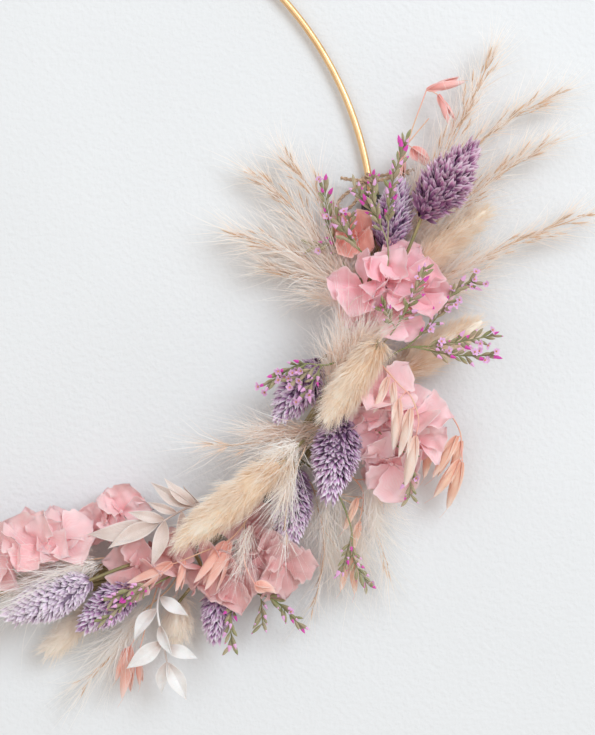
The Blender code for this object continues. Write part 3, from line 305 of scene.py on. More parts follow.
# Feathery grass: slim spikelets and silky hair all along. Shoots are tufts of hair from foot to tip,
# with so many hairs for each millimetre of their length. Of the side twigs: how much farther apart they
# stand, the share of spots that are filled, and the hairs at each spot and their lengths
TUFT_HAIRS = 6
SILKY = Feathers(2.2, 0.55, 12, (10, 24))
BROWN = Feathers(1.0, 1.0, 8, (8, 20))
PLUMES = (
    Spray("brown", ((166, 6, 13), (174, 22, 14), (184, 40, 15), (199, 73, 14)), (),
          (((162, 4, 14), (174, 35, 15)),)),
    Spray("brown", ((168, 8, 9), (184, 27, 13), (200, 43, 13), (226, 58, 12)), (),
          (((164, 0, 12), (194, 28, 13)),)),
    Spray("brown", ((168, -2, 11), (187, 13, 12), (203, 24, 13), (221, 36, 12)), (),
          (((166, -6, 12), (202, 14, 12)), ((163, -3, 13), (182, 8, 14)),
           ((159, -16, 9), (180, 4, 11)), ((160, -20, 9), (186, -8, 10)), ((160, -14, 12), (176, 6, 14)))),
    Spray("brown", ((162, -29, 11), (182, -18, 12), (207, -5, 12), (236, 6, 11)), (),
          (((173, -22, 12), (207, -6, 12)), ((169, -25, 12), (203, -22, 12)))),
    Spray("brown", ((138, -22, 12), (119, 7, 12), (101, 24, 11)),
          (((135, -18, 12), (114, -7, 11), (94, -2, 9)), ((138, -22, 12), (123, -20, 11), (108, -16, 9)),
           ((136, -19, 13), (127, 12, 13), (114, 29, 12))),
          (((140, -22, 14), (112, 12, 16)), ((140, -25, 14), (101, -2, 14)),
           ((140, -29, 14), (112, -25, 12)), ((141, -24, 16), (124, -3, 16)),
           ((138, -31, 16), (123, -25, 18)), ((147, -22, 8), (138, 2, 10)),
           ((149, -24, 8), (151, -4, 10)), ((146, -30, 8), (126, -12, 9)),
           ((148, -20, 15), (141, 0, 17)), ((144, -24, 16), (134, -6, 18)))),
    Spray("silk", ((127, -81, 20), (110, -87, 22), (86, -90, 21)),
          (((134, -82, 17), (134, -60, 24), (137, -38, 27)),),
          (((134, -73, 26), (130, -41, 32)), ((135, -64, 30), (139, -35, 36)),
           ((138, -59, 30), (148, -34, 36)), ((139, -52, 31), (159, -34, 35)),
           ((129, -81, 20), (90, -90, 20)), ((128, -84, 22), (98, -101, 24)),
           ((131, -75, 22), (119, -69, 22)), ((133, -58, 31), (135, -38, 35)),
           ((138, -56, 31), (145, -37, 36)), ((143, -51, 31), (156, -41, 36)),
           ((123, -82, 22), (97, -84, 24)), ((113, -84, 22), (88, -84, 22)))),
    Spray("pearl", ((120, -92, 32), (115, -104, 36), (112, -124, 38)), (),
          (((117, -88, 35), (108, -124, 41)), ((118, -87, 36), (101, -96, 40)),
           ((98, -121, 33), (92, -148, 35)))),
    Spray("pearl", ((126, -115, 15), (129, -134, 14), (125, -157, 11)),
          (((128, -108, 14), (146, -118, 12), (156, -141, 10)),),
          (((146, -103, 14), (154, -139, 12)), ((149, -101, 16), (161, -121, 14)),
           ((139, -113, 10), (148, -154, 9)), ((130, -121, 12), (134, -157, 10)),
           ((148, -102, 18), (152, -128, 16)), ((131, -104, 15), (127, -136, 13)),
           ((126, -108, 14), (120, -138, 12)), ((134, -110, 10), (139, -140, 9)))),
    Spray("pearl", ((36, -137, 18), (18, -141, 20), (-10, -154, 20)),
          (((28, -139, 18), (12, -147, 17), (-10, -148, 15)),),
          (((36, -139, 18), (1, -154, 20)), ((33, -136, 20), (-5, -144, 20)),
           ((34, -138, 26), (3, -149, 33)), ((30, -139, 26), (-8, -158, 31)))),
    Spray("pearl", ((52, -161, 9), (43, -174, 9), (26, -194, 8)), (),
          (((55, -156, 10), (27, -194, 8)), ((52, -157, 10), (37, -178, 8)))),
)


def linear(red, green, blue):
    """A colour given on the screen's scale of 0 to 255, as the light that it sends back."""
    shares = [value / 255 for value in (red, green, blue)]
    return tuple(s / 12.92 if s <= 0.04045 else ((s + 0.055) / 1.055) ** 2.4 for s in shares)


def blended(first, second, share):
    """The colour at a share of the way from the first to the second."""
    return [a + (b - a) * share for a, b in zip(first, second)]


def dimmed(colour, shares):
    return [value * share for value, share in zip(colour, shares)]


def draws(kind, number=0):
    """The random draws of a piece, the same at each run."""
    return np.random.default_rng(SEEDS[kind] + number)


def colour_property(name, description, red, green, blue):
    return FloatVectorProperty(
        name=name, description=description, default=linear(red, green, blue),
        subtype="COLOR", size=3, min=0.0, max=1.0)


def length_property(name, description, millimetres):
    return FloatProperty(
        name=name, description=description, default=millimetres * MM, min=0.0,
        subtype="DISTANCE", unit="LENGTH", precision=5)


def share_property(name, description, default):
    return FloatProperty(name=name, description=description, default=default, min=0.0, max=1.0,
                         subtype="FACTOR")


def count_property(name, description, default):
    return IntProperty(name=name, description=description, default=default, min=1)


class StageSettings(bpy.types.PropertyGroup):
    floor_size: length_property("Floor size", "Width of the pale floor under the wreath", 24000.0)
    floor_colour: colour_property("Floor", "Colour of the floor", 231, 235, 238)
    key_power: FloatProperty(
        name="Key light", description="Power of the large soft light at the upper right",
        default=22.0, min=0.0, unit="POWER")
    fill_power: FloatProperty(
        name="Fill light", description="Power of the soft light overhead", default=5.8, min=0.0,
        unit="POWER")
    bounces: count_property("Light bounces", "How often light passes on from hair to hair", 10)
    lamp_colour: colour_property("Lamp colour", "Colour of the key and the fill", 235, 246, 255)
    sky_colour: colour_property("Sky colour", "Colour of the light from all round", 255, 243, 232)
    sky_strength: FloatProperty(
        name="Sky", description="Strength of the light from all round", default=0.63, min=0.0)


class HoopSettings(bpy.types.PropertyGroup):
    segments: count_property("Segments", "Faces along the hoop", 240)
    gold: colour_property("Gilt", "Colour of the gilt wire", 242, 204, 154)
    shade: colour_property("Tarnish", "Colour of the duller patches", 210, 160, 104)
    roughness: share_property("Roughness", "Roughness of the satin gilt", 0.36)


class SheafSettings(bpy.types.PropertyGroup):
    straws: count_property("Straws", "Stems that show round the outside of the sheaf", 19)
    straw_radius: length_property("Straw radius", "Radius of one straw", 0.95)
    straw: colour_property("Straw", "Colour of the dry stems", 176, 156, 112)
    green: colour_property("Green", "Colour of the stems that are still greenish", 128, 128, 88)
    shade: colour_property("Shade", "Colour between the stems", 88, 70, 46)
    tape: colour_property("Tape", "Colour of the floral tape", 36, 33, 34)
    # The tape shine is a painted highlight on the tape's raised creases
    tape_shine: colour_property("Tape shine", "Colour of the tape's raised creases", 74, 70, 72)


class TwineSettings(bpy.types.PropertyGroup):
    radius: length_property("Twine radius", "Half the thickness of the twisted twine", 0.8)
    pitch: length_property("Pitch", "Length of one full twist of the twine", 4.6)
    jute: colour_property("Jute", "Colour of the twine", 210, 180, 150)
    shade: colour_property("Shade", "Colour deep in the twist", 146, 114, 86)


class PhalarisSettings(bpy.types.PropertyGroup):
    scales: share_property("Scales", "How many of the scales stand on a canary grass head", 1.0)
    mauve: colour_property("Mauve", "Scales of the darkest, reddest head", 224, 148, 196)
    violet: colour_property("Violet", "Scales of most of the heads", 236, 180, 232)
    lavender: colour_property("Lavender", "Scales of the palest heads", 250, 226, 252)
    pale: colour_property("Pale edge", "Colour of the scales' edges and tips", 252, 248, 255)
    # Plum painted shade, deep between the scales and low on the heads; it also tints their mottle and fine
    # lines
    plum: colour_property("Plum", "Colour deep between the scales", 78, 32, 88)


class LagurusSettings(bpy.types.PropertyGroup):
    hairs: count_property("Hairs", "Hairs on one hare's-tail head", 4000)
    hair_length: length_property("Hair length", "Length of one hair", 8.4)
    cream: colour_property("Cream", "Colour of the hair's tips", 254, 246, 234)
    tan: colour_property("Tan", "Colour of the hair near its root", 242, 214, 180)
    pale: colour_property("Pale", "Colour of the paler heads' hair near its root", 252, 242, 232)


class PetalSettings(bpy.types.PropertyGroup):
    thickness: length_property("Thickness", "Thickness of a petal", 0.14)
    blush: colour_property("Blush", "Baby pink blooms", 255, 202, 211)
    powder: colour_property("Powder", "The palest pink blooms", 255, 214, 218)
    rose: colour_property("Rose", "Dusty rose blooms", 232, 186, 186)
    salmon: colour_property("Salmon", "Salmon pink blooms", 250, 212, 214)
    coral: colour_property("Coral", "Coral bloom by the twine", 253, 178, 166)


class OatSettings(bpy.types.PropertyGroup):
    husk_width: share_property("Husk width", "Width of a husk as a share of its length", 0.23)
    coral: colour_property("Coral", "Coral pink oats", 255, 190, 186)
    biscuit: colour_property("Biscuit", "Pale biscuit oats", 250, 224, 210)
    peach: colour_property("Peach", "Peach oats", 255, 213, 190)
    salmon: colour_property("Salmon", "Salmon oats", 253, 198, 184)
    twig: colour_property("Twig", "Colour of the thin stalks", 240, 206, 174)


class RuscusSettings(bpy.types.PropertyGroup):
    slim: share_property("Slim leaf", "Width of a bleached leaf as a share of its length", 0.3)
    broad: share_property("Broad leaf", "Width of a white leaf as a share of its length", 0.38)
    parchment: colour_property("Parchment", "Bleached, see-through leaves", 244, 230, 224)
    white: colour_property("White", "The bright white sprig", 255, 255, 255)
    vein: colour_property("Vein", "Colour of the leaves' veins", 190, 166, 154)


class StaticeSettings(bpy.types.PropertyGroup):
    bud_spacing: length_property("Bud spacing", "Distance between pairs of buds along a twig", 2.8)
    green: colour_property("Green", "Colour of the stalks", 126, 144, 80)
    olive: colour_property("Olive", "Colour of the buds", 188, 176, 146)
    brown: colour_property("Brown", "Colour of the buds' darker lines", 92, 68, 64)
    magenta: colour_property("Magenta", "Colour of the buds' tips", 228, 84, 190)
    lilac: colour_property("Lilac", "Colour of the open flowers", 246, 190, 238)
    orange: colour_property("Orange", "Colour of the open flowers' hearts", 246, 180, 70)


class PlumeSettings(bpy.types.PropertyGroup):
    branch_spacing: length_property("Branch spacing", "Distance between a plume's side twigs", 2.4)
    hair_width: length_property("Hair width", "Thickness of one silky hair at its foot", 0.14)
    brown: colour_property("Brown", "Colour of the spikelets", 230, 194, 160)
    pale: colour_property("Pale", "Colour of the pale spikelets", 244, 214, 190)
    hair: colour_property("Hair", "Colour of the silky hair", 255, 254, 251)
    brown_root: colour_property("Brown plumes", "Hair of the brown plumes near its root", 249, 230, 214)
    silk_root: colour_property("Silk plumes", "Hair of the warm silky plume near its root", 243, 214, 192)
    pearl_root: colour_property("Pearl plumes", "Hair of the whitest plumes near its root", 255, 248, 240)


class WreathSettings(bpy.types.PropertyGroup):
    stage: PointerProperty(type=StageSettings)
    hoop: PointerProperty(type=HoopSettings)
    sheaf: PointerProperty(type=SheafSettings)
    twine: PointerProperty(type=TwineSettings)
    phalaris: PointerProperty(type=PhalarisSettings)
    lagurus: PointerProperty(type=LagurusSettings)
    petals: PointerProperty(type=PetalSettings)
    oats: PointerProperty(type=OatSettings)
    ruscus: PointerProperty(type=RuscusSettings)
    statice: PointerProperty(type=StaticeSettings)
    plumes: PointerProperty(type=PlumeSettings)


class Pile:
    """Gathers the surface of one piece.

    Every corner carries its form, which the materials read: across from -1 to 1, along from 0 to 1,
    and the luck of the copy from 0 to 1; and its place, from 0 to 1 along the whole head or spray.
    """

    def __init__(self):
        self.points = []
        self.forms = []
        self.places = []
        self.faces = []
        self.kinds = []
        self.count = 0

    def add(self, points, faces, form, place=0.0, kind=0):
        points = np.asarray(points, float).reshape(-1, 3)
        self.points.append(points)
        self.forms.append(np.broadcast_to(form, points.shape).reshape(-1, 3))
        self.places.append(np.broadcast_to(np.ravel(place), (len(points),)))
        for block in faces:
            self.faces.append(np.asarray(block) + self.count)
            self.kinds.append(np.full(len(block), kind))
        self.count += len(points)

    def mesh(self, name):
        """The mesh, lifted off the surface where it would sink into it."""
        points = np.concatenate(self.points)
        points[:, 2] = np.maximum(points[:, 2], SURFACE)
        mesh = bpy.data.meshes.new(name)
        loops = np.concatenate([block.ravel() for block in self.faces])
        sizes = np.concatenate([np.full(len(block), block.shape[1]) for block in self.faces])
        mesh.vertices.add(len(points))
        mesh.vertices.foreach_set("co", points.ravel())
        mesh.loops.add(len(loops))
        mesh.loops.foreach_set("vertex_index", loops.astype(np.int32))
        mesh.polygons.add(len(sizes))
        mesh.polygons.foreach_set("loop_start", (np.cumsum(sizes) - sizes).astype(np.int32))
        mesh.polygons.foreach_set("material_index", np.concatenate(self.kinds).astype(np.int32))
        mesh.update(calc_edges=True)
        form = mesh.attributes.new("form", "FLOAT_VECTOR", "POINT")
        form.data.foreach_set("vector", np.concatenate(self.forms).ravel())
        place = mesh.attributes.new("place", "FLOAT", "POINT")
        place.data.foreach_set("value", np.concatenate(self.places).astype(np.float32))
        mesh.shade_smooth()
        mesh.set_sharp_from_angle(angle=CRISP)
        return mesh


def put_piece(name, pile, materials, slot, *nodes):
    """Makes the pile a piece that rides on the wreath and stands for the CAD nodes."""
    mesh = pile.mesh(name)
    for material in materials:
        mesh.materials.append(material)
    piece = bpy.data.objects.new(name, mesh)
    bpy.context.scene.collection.objects.link(piece)
    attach(piece, "root")
    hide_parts(*nodes)


def at(points):
    """Points of the tables in the frame's own metres."""
    return np.asarray(points, float) * MM + MIDDLE


def unit(vectors):
    return vectors / np.maximum(np.linalg.norm(vectors, axis=-1, keepdims=True), 1e-12)


def any_normal(vectors):
    """A direction square to each of the given ones."""
    other = np.where(np.abs(vectors[..., 2:]) < 0.9, UP, np.array((1.0, 0.0, 0.0)))
    return unit(np.cross(vectors, other))


def swung(side, over, turn):
    """The direction at a turn from side towards over."""
    return side * np.cos(turn) + over * np.sin(turn)


def travelled(points):
    """The way along a line to each of its points."""
    return np.concatenate(([0.0], np.cumsum(np.linalg.norm(np.diff(points, axis=0), axis=1))))


def smooth(points, spacing):
    """Evenly spaced points on a curve that passes through each of the given ones."""
    points = np.asarray(points, float)
    ends = np.vstack((points[0] * 2 - points[1], points, points[-1] * 2 - points[-2]))
    steps = np.linspace(0, 1, 12, endpoint=False)[:, None]
    spans = []
    for before, first, second, after in zip(ends, ends[1:], ends[2:], ends[3:]):
        spans.append(0.5 * (
            first * 2 + (second - before) * steps
            + (before * 2 - first * 5 + second * 4 - after) * steps ** 2
            + (first * 3 - before - second * 3 + after) * steps ** 3
        ))
    curve = np.vstack(spans + [points[-1:]])
    way = travelled(curve)
    count = max(3, math.ceil(way[-1] / spacing) + 1)
    even = np.linspace(0, way[-1], count)
    return np.stack([np.interp(even, way, curve[:, i]) for i in range(3)], axis=1)


def directions(lines):
    """Ahead, side and over at each point of many lines, with no twist along them."""
    ahead = unit(np.gradient(lines, axis=1))
    side = np.empty_like(ahead)
    now = any_normal(ahead[:, 0])
    for row in range(lines.shape[1]):
        now = unit(now - ahead[:, row] * np.sum(now * ahead[:, row], axis=1, keepdims=True))
        side[:, row] = now
    return ahead, side, np.cross(ahead, side)


def tube_faces(rows, sides, pointed=False):
    """Faces of a tube of rings, with both ends closed. A pointed one ends in a single corner."""
    rings = rows - 1 if pointed else rows
    corner = np.arange(sides)
    after = (corner + 1) % sides
    start = np.arange(rings - 1)[:, None] * sides
    blocks = [np.stack((start + corner, start + after, start + after + sides, start + corner + sides),
                       axis=-1).reshape(-1, 4)]
    fan = np.arange(1, sides - 1)
    blocks.append(np.stack((np.zeros_like(fan), fan + 1, fan), axis=-1))
    last = (rings - 1) * sides
    if pointed:
        blocks.append(np.stack((last + corner, last + after, np.full(sides, rings * sides)), axis=-1))
    else:
        blocks.append(np.stack((np.full_like(fan, last), last + fan, last + fan + 1), axis=-1))
    return blocks


def repeated(faces, corners, copies):
    """The faces of one shape, for copies of it that follow one another."""
    shift = (np.arange(copies) * corners)[:, None, None]
    return [(block[None] + shift).reshape(-1, block.shape[1]) for block in faces]


def put_tubes(pile, lines, radii, sides, pointed=False, luck=0.0, place=0.0, kind=0):
    """Many thin tubes of the same number of points. radii is for each tube and point."""
    lines = np.asarray(lines, float)
    copies, rows = lines.shape[:2]
    radii = np.broadcast_to(radii, (copies, rows))
    _, side, over = directions(lines)
    turn = np.arange(sides) / sides * math.tau
    ring = swung(side[:, :, None], over[:, :, None], turn[:, None])
    points = lines[:, :, None] + ring * radii[:, :, None, None]
    form = np.empty(points.shape)
    form[..., 0] = np.sin(turn)
    form[..., 1] = np.linspace(0, 1, rows)[:, None]
    form[..., 2] = np.broadcast_to(luck, (copies,))[:, None, None]
    places = np.empty(points.shape[:3])
    places[:] = np.broadcast_to(place, (copies,))[:, None, None]
    points = points.reshape(copies, -1, 3)
    form = form.reshape(copies, -1, 3)
    places = places.reshape(copies, -1)
    if pointed:
        keep = (rows - 1) * sides + 1
        points = points[:, :keep]
        points[:, -1] = lines[:, -1]
        form = form[:, :keep]
        places = places[:, :keep]
    corners = points.shape[1]
    faces = repeated(tube_faces(rows, sides, pointed), corners, copies)
    pile.add(points, faces, form.reshape(-1, 3), places, kind)


def put_tube(pile, line, radii, sides, luck=0.5, kind=0):
    put_tubes(pile, np.asarray(line)[None], radii, sides, luck=luck, kind=kind)


def put_copies(pile, shape, origins, axes, luck, place=0.0, kind=0):
    """Copies of a unit shape. axes holds for each copy its side, front and ahead, at full length."""
    points, faces, form = shape
    copies = len(origins)
    placed = origins[:, None] + np.einsum("nij,kj->nki", np.swapaxes(axes, 1, 2), points)
    forms = np.broadcast_to(form, (copies, *form.shape)).copy()
    forms[..., 2] = np.broadcast_to(luck, (copies,))[:, None]
    places = np.broadcast_to(np.broadcast_to(place, (copies,))[:, None], (copies, len(points)))
    pile.add(placed, repeated(faces, len(points), copies), forms.reshape(-1, 3), places, kind)


def kept_near(lines):
    """Hairs, shortened where they would reach too far out of the wreath's box."""
    low, high = (np.array(corner) for corner in CAD_BOX)
    start = lines[:, :1]
    run = lines[:, -1:] - start
    room = np.where(run > 0, high + HAIR_REACH - start, low - HAIR_REACH - start)
    share = room / np.where(np.abs(run) < TINY, TINY, run)
    return start + (lines - start) * np.clip(np.abs(share), 0.15, 1.0).min(axis=2, keepdims=True)


def spindle_shape(sides, rows, widest, rib=0.0, foot=0.0):
    """A slim closed body along z, with raised ribs, pointed at its tip."""
    share = np.linspace(0, 1, rows)
    power = math.log(0.5) / math.log(widest)
    wide = np.maximum(np.sin(np.pi * share ** power), foot * (1 - share))
    turn = np.arange(sides) / sides * math.tau
    ribbed = 1 + rib * np.where(np.arange(sides) % 2, -1.0, 1.0)
    x = wide[:, None] * np.cos(turn) * ribbed
    y = wide[:, None] * np.sin(turn) * ribbed
    z = np.broadcast_to(share[:, None], x.shape)
    points = np.stack((x, y, z), axis=-1).reshape(-1, 3)[:(rows - 1) * sides + 1]
    points[-1] = (0.0, 0.0, 1.0)
    form = np.stack((np.broadcast_to(np.sin(turn * 2), x.shape), z, np.zeros_like(x)), axis=-1)
    return points, tube_faces(rows, sides, pointed=True), form.reshape(-1, 3)[:len(points)]


def scale_shape():
    """A thin, pointed scale along z, folded along its keel, which is towards y."""
    across = np.array((-1.0, 0.0, 1.0, 0.0))
    raised = np.array((0.0, 1.0, 0.0, 0.6))
    share = np.array((0.0, 0.28, 0.58, 0.84, 1.0))
    wide = np.array((0.35, 0.9, 1.0, 0.46, 0.0))
    bow = np.array((0.0, 0.3, 0.25, 0.0, -0.1))
    rows = len(share)
    x = wide[:, None] * across
    y = wide[:, None] * raised * 1.1 + bow[:, None]
    z = np.broadcast_to(share[:, None], x.shape) - 0.06 * np.abs(across) * (share[:, None] > 0.5)
    points = np.stack((x, y, z), axis=-1).reshape(-1, 3)[:(rows - 1) * 4 + 1]
    form = np.stack((np.broadcast_to(across, x.shape), np.broadcast_to(share[:, None], x.shape),
                     np.zeros_like(x)), axis=-1).reshape(-1, 3)[:len(points)]
    return points, tube_faces(rows, 4, pointed=True), form


def put_sheet(pile, grid, thickness, luck, kind):
    """A thin closed sheet over a grid of points, its rows along it."""
    rows, columns = grid.shape[:2]
    normal = unit(np.cross(np.gradient(grid, axis=0), np.gradient(grid, axis=1)))
    normal = np.nan_to_num(normal)
    half = thickness / 2
    points = np.concatenate(((grid + normal * half).reshape(-1, 3), (grid - normal * half).reshape(-1, 3)))
    across, along = np.meshgrid(np.linspace(-1, 1, columns), np.linspace(0, 1, rows))
    form = np.stack((across, along, np.full_like(across, luck)), axis=-1).reshape(-1, 3)
    index = np.arange(rows * columns).reshape(rows, columns)
    top = np.stack((index[:-1, :-1], index[1:, :-1], index[1:, 1:], index[:-1, 1:]), axis=-1).reshape(-1, 4)
    under = top[:, ::-1] + rows * columns
    rim = np.concatenate((index[0, :-1], index[:-1, -1], index[-1, :0:-1], index[:0:-1, 0]))
    after = np.roll(rim, -1)
    sides = np.stack((rim, after, after + rows * columns, rim + rows * columns), axis=-1)
    pile.add(points, [top, under, sides], np.concatenate((form, form)), kind=kind)


def half_width(share, outline):
    """Half the width of a blade at a share of its length, for a largest one of 1."""
    power = math.log(0.5) / math.log(outline.widest)
    round_part = np.sin(np.pi * np.clip(share, 0, 1) ** power) ** outline.taper
    return np.maximum(round_part, outline.foot * (1 - share))


def blade_grid(start, end, facing, width, outline, draw, rows, columns, arch=0.0, cup=0.0, fold=0.0,
               bend=0.0, curl=0.0, ruffle=0.0, creases=0):
    """A blade from start to end whose broad side is turned to facing.

    All are shares of its length: arch lifts its middle, cup and fold its edges and curl its tip, bend
    swings it sideways and ruffle waves its edges. Each crease is a sharp fold at a chance place.
    """
    ahead = end - start
    length = np.linalg.norm(ahead)
    across = unit(np.cross(ahead, facing))
    over = unit(np.cross(across, ahead))
    share, side = np.meshgrid(np.linspace(0, 1, rows), np.linspace(-1, 1, columns), indexing="ij")
    body = half_width(share, outline) * width / 2 / length
    if ruffle:
        phase = draw.uniform(0, math.tau, 5)
        waves = draw.uniform(1.4, 2.6)
        left = np.where(side > 0, phase[0], phase[1])
        edge = np.abs(side) ** 1.6 * np.sin(np.pi * share ** 0.7)
        tip = share ** 3 * np.sin(side * math.pi * waves * 0.8 + phase[2])
        body = body * (1 + 0.1 * np.sin(waves * 9 * share + left) + 0.05 * np.sin(23 * share + left))
        share = share + 0.05 * tip + 0.03 * share ** 3 * np.sin(side * 9 + phase[3])
        waved = ruffle * (edge * np.sin(waves * math.tau * share + left) + 0.8 * tip)
    else:
        waved = 0.0
    lift = (arch * np.sin(np.pi * np.clip(share, 0, 1)) + curl * share ** 2.2
            + (cup * side ** 2 + fold * np.abs(side)) * body * 2 + waved)
    for _ in range(creases):
        turn = draw.uniform(0, math.pi)
        line = (share - draw.uniform(0.25, 0.85)) * math.cos(turn) + side * body * math.sin(turn)
        depth = draw.choice((-1.0, 1.0)) * draw.uniform(0.15, 0.5)
        lift = lift + depth * np.minimum(np.abs(line), 0.16) * np.minimum(1, share * 3)
    sway = bend * np.sin(np.pi * share)
    return start + ahead * share[..., None] + (across * (side * body + sway)[..., None]
                                               + over * lift[..., None]) * length


def welded(node):
    """The corners of a CAD node, and for each the ones that it is joined to."""
    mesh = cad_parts[node].data
    points = np.empty(len(mesh.vertices) * 3)
    mesh.vertices.foreach_get("co", points)
    _, first, index = np.unique(np.round(points.reshape(-1, 3) / TINY), axis=0, return_index=True,
                                return_inverse=True)
    index = index.ravel()
    edges = np.empty(len(mesh.edges) * 2, np.int64)
    mesh.edges.foreach_get("vertices", edges)
    links = {}
    for a, b in index[edges].reshape(-1, 2):
        links.setdefault(a, set()).add(b)
        links.setdefault(b, set()).add(a)
    return points.reshape(-1, 3)[first], links


def ring_walk(corners, links, ring, rings):
    """Middles of the rings of a four-sided stalk, from one of them on."""
    found = set(ring)
    middles = [corners[list(ring)].mean(0)]
    for _ in range(rings):
        ring = {other for corner in ring for other in links[corner]} - found
        if len(ring) != 4:
            break
        found |= ring
        middles.append(corners[list(ring)].mean(0))
    return middles


def sheaf_radius(angle):
    """Full along the middle and drawn in towards both ends."""
    inset = np.minimum(SHEAF_START - angle, angle - SHEAF_END) / SHEAF_TAPER
    share = np.sin(np.clip(inset, 0.0, 1.0) * math.pi / 2)
    return SHEAF_END_RADIUS + (SHEAF_RADIUS - SHEAF_END_RADIUS) * share


def sheaf_point(angle, around, reach):
    """The point at a reach from the sheaf's middle line: around 0 is away from the hoop's middle, 90 up."""
    turn = np.radians(angle)
    lean = np.radians(around)
    out = HOOP_RADIUS + reach * np.cos(lean)
    height = SHEAF_FLOOR + sheaf_radius(np.asarray(angle, float)) + reach * np.sin(lean)
    return at(np.stack(np.broadcast_arrays(out * np.cos(turn), out * np.sin(turn), height), axis=-1))


def lead_in(node):
    """The stretch of a node's stalk from inside the sheaf to where it comes into sight."""
    corners, links = welded(node)
    level = corners - MIDDLE
    angle = np.degrees(np.arctan2(level[:, 1], level[:, 0]))
    height = (SHEAF_FLOOR + sheaf_radius(angle)) * MM
    off = np.hypot(np.hypot(level[:, 0], level[:, 1]) - HOOP_RADIUS * MM, level[:, 2] - height)
    return ring_walk(corners, links, list(np.argsort(off)[:4]), 2)


def head_axis(node):
    """Foot, tip and radius of a flower head's CAD solid. Its foot is a ring and its tip one corner."""
    corners, _ = welded(node)
    middle = corners.mean(0)
    axis = np.linalg.svd(corners - middle)[2][0]
    along = (corners - middle) @ axis
    low_end = np.sum(along < along.min() + 2 * MM)
    high_end = np.sum(along > along.max() - 2 * MM)
    if low_end < high_end:
        axis = -axis
        along = -along
    off = np.linalg.norm(corners - middle - along[:, None] * axis, axis=1)
    return middle + axis * along.min(), middle + axis * along.max(), off.max()


def head_frame(node):
    """A head's foot, axis, length and radius, and its directions ahead, to the side and over."""
    foot, tip, radius = head_axis(node)
    axis = tip - foot
    length = np.linalg.norm(axis)
    ahead = axis / length
    side = any_normal(ahead)
    return foot, axis, length, radius, ahead, side, np.cross(ahead, side)


def head_width(share, foot, fullness):
    """A head's width at a share of its length, for a largest width of 1."""
    return np.sin(np.pi * (foot + (1 - foot) * np.clip(share, 0, 1)) ** 0.9) ** fullness


class Graph:
    """Adds nodes to a material or a shader group, and joins them."""

    def __init__(self, tree):
        self.tree = tree

    def node(self, kind, inputs=None, **settings):
        made = self.tree.nodes.new("ShaderNode" + kind)
        for name, value in settings.items():
            setattr(made, name, value)
        for name, value in (inputs or {}).items():
            self.feed(made.inputs[name], value)
        return made

    def feed(self, socket, value):
        if isinstance(value, bpy.types.NodeSocket):
            self.tree.links.new(value, socket)
        else:
            socket.default_value = value

    def maths(self, operation, first, second=0.5):
        return self.node("Math", {0: first, 1: second}, operation=operation).outputs[0]

    def mix(self, share, first, second):
        made = self.node("Mix", data_type="RGBA", clamp_factor=True)
        self.feed(made.inputs[0], share)
        self.feed(made.inputs[6], first)
        self.feed(made.inputs[7], second)
        return made.outputs[2]

    def spread(self, value, low, high, least=0.0, most=1.0):
        """The value with the stretch from low to high drawn over least to most."""
        return self.node("MapRange", {0: value, 1: low, 2: high, 3: least, 4: most},
                         interpolation_type="SMOOTHSTEP").outputs[0]

    def noise(self, scale, detail=3.0):
        spot = self.node("TexCoord").outputs["Object"]
        return self.node("TexNoise", {"Vector": spot, "Scale": scale, "Detail": detail}).outputs["Fac"]

    def form(self):
        """Across, along and luck, as every repeat carries them."""
        read = self.node("Attribute", attribute_name="form")
        return self.node("SeparateXYZ", {0: read.outputs["Vector"]}).outputs

    def place(self):
        return self.node("Attribute", attribute_name="place").outputs["Fac"]


def rgba(colour):
    return (*colour, 1.0)


def new_group(name, inputs, outputs):
    """A shader group with its named sockets: the graph to build it with, and its two ends."""
    tree = bpy.data.node_groups.new(name, "ShaderNodeTree")
    for socket, kind, default in inputs:
        made = tree.interface.new_socket(socket, in_out="INPUT", socket_type="NodeSocket" + kind)
        made.default_value = default
    for socket, kind in outputs:
        tree.interface.new_socket(socket, in_out="OUTPUT", socket_type="NodeSocket" + kind)
    given = tree.nodes.new("NodeGroupInput")
    result = tree.nodes.new("NodeGroupOutput")
    return Graph(tree), given.outputs, result.inputs


def dry_tone_group():
    """Mottled tone: the colour drifts between two, and each copy is a little lighter or darker."""
    found = bpy.data.node_groups.get("Dry Tone")
    if found:
        return found
    graph, given, result = new_group(
        "Dry Tone",
        (("Colour", "Color", (0.8, 0.8, 0.8, 1.0)), ("Second Colour", "Color", (0.5, 0.5, 0.5, 1.0)),
         ("Patch Scale", "Float", 90.0), ("Patch Share", "Float", 0.6), ("Luck Share", "Float", 0.3)),
        (("Colour", "Color"),))
    patches = graph.spread(graph.noise(given["Patch Scale"], 4.0), 0.38, 0.66)
    mottled = graph.mix(graph.maths("MULTIPLY", patches, given["Patch Share"]), given["Colour"],
                        given["Second Colour"])
    luck = graph.form()[2]
    dim = graph.maths("MULTIPLY", graph.maths("SUBTRACT", luck, 0.5), given["Luck Share"])
    bright = graph.maths("ADD", dim, 1.0)
    tone = graph.node("HueSaturation", {"Color": mottled, "Value": bright})
    graph.feed(result["Colour"], tone.outputs[0])
    return graph.tree


